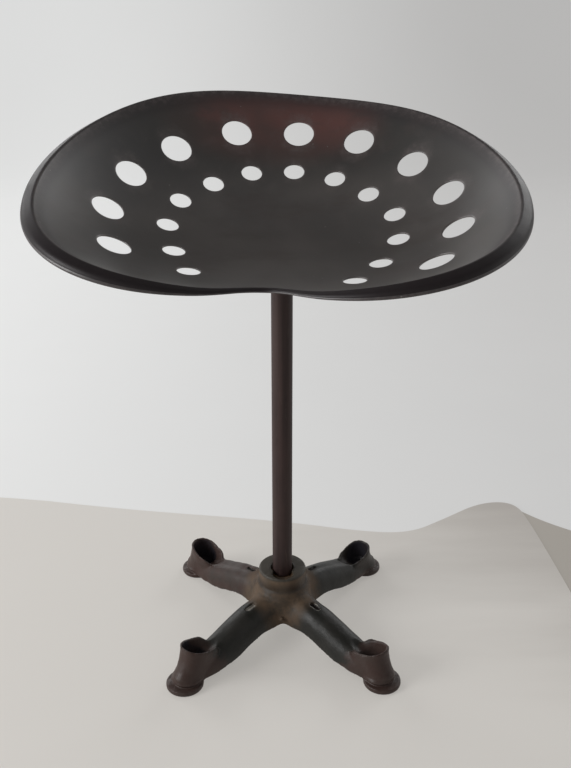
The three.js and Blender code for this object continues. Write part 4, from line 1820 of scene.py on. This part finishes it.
    def distance(self, places: Array) -> Array:
        """Distance to the casting's surface, negative inside.

        Args:
            places: Points about the post's axis.

        Returns:
            Distances.
        """
        x, y, up = places.T
        reach = np.hypot(x, y)
        solid = self.hub_distance(x, y, up)
        cores, hollows, scoops = (np.full(len(up), FAR) for _ in range(3))
        for leg in self.legs:
            local = self.leg_places(places, leg)
            boot = self.boot_distance(leg, local, False)
            shoe = smooth_union(boot, self.foot_distance_at(*local), self.foot_fillet)
            limb = smooth_union(self.leg_distance(*local, 0), shoe, self.boot_fillet)
            solid = smooth_union(solid, limb, self.leg_fillet)
            cores = np.minimum(cores, self.leg_distance(*local, self.leg_wall))
            hollows = np.minimum(hollows, self.boot_distance(leg, local, True))
            scoops = np.minimum(scoops, self.scoop_distance_at(leg, local))
        knob = np.linalg.norm(places - np.array(self.knob_place), axis=1) - self.knob_radius
        solid = smooth_union(solid, knob, self.knob_fillet)
        under = profile_distance(reach, up, self.under_outline)
        bore = profile_distance(reach, up, self.bore_outline)
        hole = np.maximum(reach - self.ledge_hole_radius, up - self.ledge_hole_top)
        pocket_reach = np.hypot(x - self.pocket_place[0], y - self.pocket_place[1]) - self.pocket_radius
        pocket = np.maximum(pocket_reach, self.pocket_floor - up)
        mouths = smooth_union(scoops, hollows, self.scoop_fillet)
        openings = np.minimum.reduce((bore, hole, pocket))
        solid = smooth_cut(solid, np.minimum(cores, under), self.core_round)
        solid = smooth_cut(solid, mouths, self.mouth_round)
        solid = smooth_cut(solid, self.slot_distance_of(places), self.sharp_round)
        solid = smooth_cut(solid, openings, self.sharp_round)
        return np.maximum(solid + self.skin(x, y, up) + self.skin_inset, -up)

    def skin(self, x: Array, y: Array, up: Array) -> Array:
        """Unevenness of the cast skin, which fades out near the floor and on the hub.

        Args:
            x: Places across.
            y: Places from front to back.
            up: Heights.

        Returns:
            Depths by which the surface is lowered.
        """
        rough = 0.16 * np.sin(x / 5.1 + 0.7) * np.sin(y / 6.3) + 0.12 * np.sin((x - y) / 3.7 + up / 4.1)
        fade = np.clip((up - 3) / 3, 0, 1) * np.clip((np.hypot(x, y) - 26) / 6, 0, 1)
        return rough * fade

    def build(self) -> bpy.types.Object:
        """Builds the casting.

        Returns:
            The piece.
        """
        net = SurfaceNet(self.distance, self.grid_low, self.grid_high, self.grid_step)
        places, faces = net.build()
        piece = make_mesh("base_casting_rough", places, faces, 80)
        thinner = piece.modifiers.new("thin", "DECIMATE")
        thinner.ratio = self.kept_share
        shape = piece.evaluated_get(bpy.context.evaluated_depsgraph_get())
        thin = bpy.data.meshes.new_from_object(shape)
        old = piece.data
        piece.modifiers.clear()
        piece.data = thin
        bpy.data.meshes.remove(old)
        points = np.empty(len(thin.vertices) * 3)
        thin.vertices.foreach_get("co", points)
        points = points.reshape(-1, 3) / MM
        hollow = np.clip(1 - (self.hollow_distance(points) - 0.2) / 0.5, 0, 1)
        keep_values(piece, "hollow", hollow)
        floor = (self.slot_distance_of(points) < 0.6) & (points[:, 2] < self.slot_floor + 0.7)
        keep_values(piece, "slot", floor & (points[:, 2] > self.slot_floor - 1))
        keep_values(piece, "edge", self.sharpness(points))
        moved = (points + np.array([*self.axis, 0])) * MM
        thin.vertices.foreach_set("co", moved.ravel())
        thin.shade_smooth()
        thin.set_sharp_from_angle(angle=math.radians(75))
        thin.update()
        return piece

    def sharpness(self, points: Array) -> Array:
        """How much each point of the surface stands out from what lies round it.

        Args:
            points: Points on the surface.

        Returns:
            Values from 0 on flat ground to 1 on an edge.
        """
        reach = self.wear_reach
        outward = surface_slope(self.distance, points)
        around = np.zeros(len(points))
        for axis in np.vstack((np.eye(3), -np.eye(3))):
            aside = axis - outward * (outward @ axis)[:, None]
            around += self.distance(points + reach * aside)
        return np.clip(around / (2.2 * reach), 0, 1)


def surface_slope(distance: Callable, points: Array) -> Array:
    """Direction in which a distance grows at each point.

    Args:
        distance: The distance function.
        points: The points.

    Returns:
        Directions of length 1.
    """
    step = 0.08
    slopes = [distance(points + step * axis) - distance(points - step * axis) for axis in np.eye(3)]
    slope = np.stack(slopes, -1)
    return slope / np.maximum(np.linalg.norm(slope, axis=1, keepdims=True), 1e-9)


@dataclass
class SurfaceNet:
    """Makes a mesh of the zero surface of a distance function."""

    distance: Callable
    low: Triple
    high: Triple
    step: float
    coarse: int = 4
    longest_move: float = 0.35

    def values(self) -> Array:
        """Distances on the grid, worked out finely only near the surface.

        Returns:
            A block of values.
        """
        cells = [math.ceil((high - low) / self.step / self.coarse) for low, high in zip(self.low, self.high)]
        wide = self.step * self.coarse
        rough_axes = [low + wide * (np.arange(count) + 0.5) for low, count in zip(self.low, cells)]
        rough = np.stack(np.meshgrid(*rough_axes, indexing="ij"), -1).reshape(-1, 3)
        distances = self.distance(rough).reshape(cells)
        for axis in range(3):
            distances = np.repeat(distances, self.coarse, axis)
        near = np.abs(distances) < wide * 1.6
        axes = [low + self.step * np.arange(size) for low, size in zip(self.low, distances.shape)]
        places = np.stack(np.meshgrid(*axes, indexing="ij"), -1)
        distances[near] = self.distance(places[near])
        return distances

    def build(self) -> tuple[Array, Faces]:
        """Makes the mesh.

        Returns:
            Points and four-cornered faces.
        """
        values = self.values()
        inside = values < 0
        size = np.array(values.shape)
        corners = np.array([(i, j, k) for i in (0, 1) for j in (0, 1) for k in (0, 1)])
        count = 0
        for corner in corners:
            part = tuple(slice(first, length - 1 + first) for first, length in zip(corner, size))
            count = count + inside[part].astype(int)
        cells = np.argwhere((count > 0) & (count < 8))
        number = np.full(size - 1, -1)
        number[tuple(cells.T)] = np.arange(len(cells))
        total, hits = np.zeros((len(cells), 3)), np.zeros(len(cells))
        for start in corners:
            for axis in range(3):
                if start[axis]:
                    continue
                end = start + np.eye(3, dtype=int)[axis]
                one, two = values[tuple((cells + start).T)], values[tuple((cells + end).T)]
                crossing = (one < 0) != (two < 0)
                share = np.where(crossing, one / np.where(crossing, one - two, 1), 0)
                total += crossing[:, None] * (start + share[:, None] * (end - start))
                hits += crossing
        places = np.array(self.low) + self.step * (cells + total / hits[:, None])
        return self.settle(places), self.faces(inside, number)

    def faces(self, inside: Array, number: Array) -> Faces:
        """Faces round every grid edge that crosses the surface.

        Args:
            inside: Whether each grid point is inside.
            number: The point number of each cell.

        Returns:
            Four-cornered faces that look outward.
        """
        made = []
        for axis in range(3):
            low = [slice(None)] * 3
            high = [slice(None)] * 3
            low[axis], high[axis] = slice(0, -1), slice(1, None)
            crossing = np.argwhere(inside[tuple(low)] != inside[tuple(high)])
            side, other = [(1, 2), (2, 0), (0, 1)][axis]
            edge = np.all(crossing[:, [side, other]] > 0, axis=1)
            crossing = crossing[edge]
            shifts = [(0, 0), (-1, 0), (-1, -1), (0, -1)]
            ring = []
            for shift in shifts:
                cell = crossing.copy()
                cell[:, side] += shift[0]
                cell[:, other] += shift[1]
                ring.append(number[tuple(cell.T)])
            ring = np.stack(ring, 1)
            outward = inside[tuple(crossing.T)]
            ring[~outward] = ring[~outward][:, ::-1]
            made.append(ring)
        return [tuple(face) for face in np.vstack(made).tolist()]

    def settle(self, places: Array) -> Array:
        """Moves points onto the surface, twice and by about a third of a step at most.

        Args:
            places: The points.

        Returns:
            The moved points.
        """
        moved = places.copy()
        most = self.longest_move * self.step
        for _ in range(2):
            slope = surface_slope(self.distance, moved)
            away = np.clip(self.distance(moved), -most, most)
            moved -= slope * away[:, None]
        return moved


@dataclass
class Bearing:
    """Bush and thrust washer in the hub."""

    axis: Pair
    bush_inner: float = 10.1
    bush_outer: float = 11.3
    bush_bottom: float = 34.9
    bush_top: float = 64.0
    washer_inner: float = 6.3
    washer_outer: float = 11.3
    washer_bottom: float = 32.3
    washer_thickness: float = 2.0
    edge_round: float = 0.3
    steps: int = 96

    def ring(self, name: str, inner: float, outer: float, low: float, high: float) -> bpy.types.Object:
        """Builds one plain ring with rounded edges.

        Args:
            name: The piece's name.
            inner: Radius of its hole.
            outer: Its outer radius.
            low: Height of its lower face.
            high: Height of its upper face.

        Returns:
            The piece.
        """
        outline = [(inner, low), (outer, low), (outer, high), (inner, high)]
        outline = rounded(outline, self.edge_round)
        places, faces = turned(outline, self.steps, True)
        return make_mesh(name, places + np.array([*self.axis, 0]), faces)

    def build(self) -> list[bpy.types.Object]:
        """Builds the bush and the washer.

        Returns:
            The two pieces.
        """
        inner, outer = self.bush_inner, self.bush_outer
        bush = self.ring("hub_bush_sleeve", inner, outer, self.bush_bottom, self.bush_top)
        inner, outer = self.washer_inner, self.washer_outer
        top = self.washer_bottom + self.washer_thickness
        washer = self.ring("thrust_washer_ring", inner, outer, self.washer_bottom, top)
        return [bush, washer]


# Stage


@dataclass(frozen=True)
class Lamp:
    """One square lamp: its name, place and aim, its side in metres and its power in watts."""

    name: str
    place: Triple
    aim: Triple
    size: float
    power: float


@dataclass
class Studio:
    """Floor, backdrop, lamps and camera. The camera is in millimetres, all else in metres."""

    axis: Pair
    camera_turn: float = math.radians(-0.9)
    camera_place: Triple = (3.3, -810.6, 635.2)
    camera_pitch: float = math.radians(90 - 23.86)
    focal_pixels: float = 934.1
    frame_height: int = 768
    sensor_width: float = 36.0
    room_colour: Colour = (1.0, 0.985, 0.975)
    ceiling_glow: float = 0.2
    wall_glow: float = 0.9
    front_shade: float = 0.85
    lamps: tuple[Lamp, ...] = (
        Lamp("window", (-1.75, -0.65, 0.9), (0, 0, 0.2), 0.9, 22),
        Lamp("back_left", (-1.4, 1.8, 1.3), (0, 0, 0.3), 1.0, 11),
        Lamp("back_right", (1.4, 1.8, 1.3), (0, 0, 0.3), 1.0, 11),
    )
    sheet_front: float = -3.0
    backdrop_front: float = -4.0
    backdrop_half_width: float = 5.0
    backdrop_top: float = 4.0
    bend_start: float = 2.3
    bend_radius: float = 0.6
    sheet_edge: tuple[Pair, ...] = (
        (-1.6, 0.4),
        (-0.38, 0.27),
        (-0.2, 0.23),
        (0.0, 0.20),
        (0.11, 0.172),
        (0.165, 0.17),
        (0.21, 0.20),
        (0.265, 0.24),
        (0.31, 0.24),
        (0.318, 0.19),
        (0.325, 0.08),
        (0.33, -0.02),
        (0.345, -0.2),
        (0.45, -0.7),
    )
    # far edge of the darker sheet, a painted shadow right of the floor sheet
    shade_edge: tuple[Pair, ...] = ((0.30, 0.235), (0.34, 0.19), (0.40, 0.15), (0.6, 0.12))

    def build_camera(self) -> None:
        """Puts the camera where the photograph was taken."""
        x, y, z = self.camera_place
        cosine, sine = math.cos(self.camera_turn), math.sin(self.camera_turn)
        lens = bpy.data.cameras.new("camera")
        lens.sensor_width = self.sensor_width
        lens.lens = self.focal_pixels / self.frame_height * lens.sensor_width
        lens.clip_start = 0.05
        camera = bpy.data.objects.new("camera", lens)
        across = self.axis[0] + x * cosine - y * sine
        back = self.axis[1] + x * sine + y * cosine
        camera.location = Vector((across, back, z)) * MM
        camera.rotation_euler = (self.camera_pitch, 0, self.camera_turn)
        bpy.context.scene.collection.objects.link(camera)
        bpy.context.scene.camera = camera

    def build_stage(self) -> list[bpy.types.Object]:
        """Builds the floor sheet, a darker sheet beyond it that is a painted shadow, and the backdrop.

        Returns:
            The stage's objects.
        """
        floor = self.sheet("floor_sheet", self.sheet_edge, (-1.6, 0.6), -0.0003)
        # the darker sheet is a painted shadow
        shade = self.sheet("floor_painted_shadow", self.shade_edge, (0.28, 0.6), -0.0016)
        start, radius = self.bend_start, self.bend_radius
        turns = np.linspace(0, math.pi / 2, 12)
        bend = [(start + radius * math.sin(turn), radius - radius * math.cos(turn)) for turn in turns]
        rows = [(self.backdrop_front, 0.0), *bend, (start + radius, self.backdrop_top)]
        sides = (-self.backdrop_half_width, self.backdrop_half_width)
        places = [(x, y, z) for y, z in rows for x in sides]
        faces = [(2 * i, 2 * i + 1, 2 * i + 3, 2 * i + 2) for i in range(len(rows) - 1)]
        backdrop = make_mesh("backdrop_sweep", np.array(places) / MM, faces, 60)
        backdrop.location.z = -0.004
        return [floor, shade, backdrop]

    def sheet(self, name: str, edge: Sequence[Pair], ends: tuple, height: float) -> bpy.types.Object:
        """Builds a flat sheet with a soft far edge.

        Args:
            name: The sheet's name.
            edge: Corners of the far edge, in metres, from left to right.
            ends: Its left and right ends in front.
            height: Its height, in metres.

        Returns:
            The sheet.
        """
        line = np.array(edge)
        for _ in range(3):
            near, far = 0.75 * line[:-1] + 0.25 * line[1:], 0.25 * line[:-1] + 0.75 * line[1:]
            line = np.vstack((line[:1], np.stack((near, far), 1).reshape(-1, 2), line[-1:]))
        far_side = [(x, y, 0.0) for x, y in line[::-1].tolist()]
        outline = [*((end, self.sheet_front, 0.0) for end in ends), *far_side]
        sheet = make_mesh(name, np.array(outline) / MM, [tuple(range(len(outline)))])
        sheet.location.z = height
        return sheet

    def add_lamp(self, lamp: Lamp) -> None:
        """Adds one square area lamp.

        Args:
            lamp: What the lamp is like.
        """
        light = bpy.data.lights.new(lamp.name, "AREA")
        light.size = lamp.size
        light.energy = lamp.power
        made = bpy.data.objects.new(lamp.name, light)
        made.location = lamp.place
        toward = Vector(lamp.aim) - Vector(lamp.place)
        made.rotation_euler = toward.to_track_quat("-Z", "Y").to_euler()
        made.visible_camera = False
        bpy.context.scene.collection.objects.link(made)

    def light(self) -> None:
        """Lights the scene with a pale room that is dim behind the camera, and soft lamps."""
        tree = Tree.world("room")
        y, z = tree.axis("Y"), tree.axis("Z")
        low = tree.between(z, 0.75, 0.35)
        front = tree.between(y, 0.25, -0.35)
        walls = low * (1 - self.front_shade * front)
        strength = self.ceiling_glow + self.wall_glow * walls
        bpy.context.scene.world = tree.finish(Color=self.room_colour, Strength=strength)
        for lamp in self.lamps:
            self.add_lamp(lamp)


def show_table(frame: dict) -> Pair:
    """Logs the frame and gives the post's axis in millimetres.

    Args:
        frame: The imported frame.

    Returns:
        Places of the axis across and from front to back.
    """
    pos = frame["joints"][0]["pos_m"]
    LOG.info("frame has %d nodes, post axis at %s", len(frame["nodes"]), pos[:2])
    return pos[0] / MM, pos[1] / MM


def dress(piece: bpy.types.Object, material: bpy.types.Material, body: Body, slot: Slot, *nodes: str) -> None:
    """Gives a piece its material and body, and hides the nodes that it stands for.

    Args:
        piece: The piece.
        material: Its material.
        body: The body that it rides on.
        slot: Not used.
        nodes: The CAD nodes that it stands for.
    """
    piece.data.materials.clear()
    piece.data.materials.append(material)
    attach(piece, body.value)
    if nodes:
        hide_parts(*nodes)
    LOG.info("%s: %d points, %d faces", piece.name, len(piece.data.vertices), len(piece.data.polygons))


def main() -> None:
    """Builds the stool's looks."""
    logging.basicConfig(level=logging.INFO, format="%(name)s: %(message)s")
    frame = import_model()
    axis = show_table(frame)
    studio = Studio(axis)
    studio.build_camera()
    studio.light()
    # the right colours of the floor and the backdrop are painted shade
    beige = StagePaint("floor_beige", (0.735, 0.708, 0.668), (0.38, 0.35, 0.32), 0.55, (0.1, 0.8), 1.0, 0.35)
    # floor_shade paints the shadow right of the floor sheet
    shade = StagePaint("floor_shade", (0.37, 0.345, 0.31), (0.35, 0.32, 0.285), 0.3, (0.3, 0.6))
    white = StagePaint("backdrop_white", (0.84, 0.845, 0.84), (0.565, 0.56, 0.553), 0.25, (-0.75, 0.95))
    stage = studio.build_stage()
    for surface, paint in zip(stage, (beige, shade, white)):
        surface.data.materials.append(paint.make())

    post_paint = PostPaint().make()
    weld_paint = PlainMetal("weld_paint", (0.030, 0.024, 0.021), (0.05, 0.036, 0.03), 0.45, 0.0).make()
    bronze = PlainMetal("bronze", (0.30, 0.17, 0.065), (0.14, 0.085, 0.045), 0.35).make()
    zinc = PlainMetal("dull_zinc", (0.36, 0.36, 0.37), (0.2, 0.19, 0.185), 0.4).make()

    form, place = PanForm(), SeatPlace(axis)
    dress(SeatPan(form, place).build(), PanPaint().make(), Body.SEAT, Slot.SEAT_STEEL, "seat_pan")
    fixing = SeatFixing(form, place)
    dress(fixing.build_saddle(), post_paint, Body.SEAT, Slot.POST_STEEL, "saddle_plate")
    dress(fixing.build_saddle_weld(), weld_paint, Body.SEAT, Slot.WELD, "saddle_weld")
    dress(fixing.build_post_weld(), weld_paint, Body.SEAT, Slot.WELD, "post_weld")
    post = Post(fixing, place)
    dress(post.build_post(), post_paint, Body.SEAT, Slot.POST_STEEL, "seat_post")
    dress(post.build_washer(), zinc, Body.SEAT, Slot.ZINC, "retaining_washer")
    for name in ("castle_nut", "split_pin"):
        frame["nodes"][name].material_slots[0].material = zinc

    iron = CastIron().make((axis[0] * MM, axis[1] * MM))
    dress(CastBase(axis).build(), iron, Body.BASE, Slot.CAST_IRON, "base_casting")
    for ring, node in zip(Bearing(axis).build(), ("hub_bush", "thrust_washer")):
        dress(ring, bronze, Body.BASE, Slot.BRONZE, node)

    bpy.context.scene.view_settings.view_transform = "Standard"


if __name__ == "__main__":
    main()
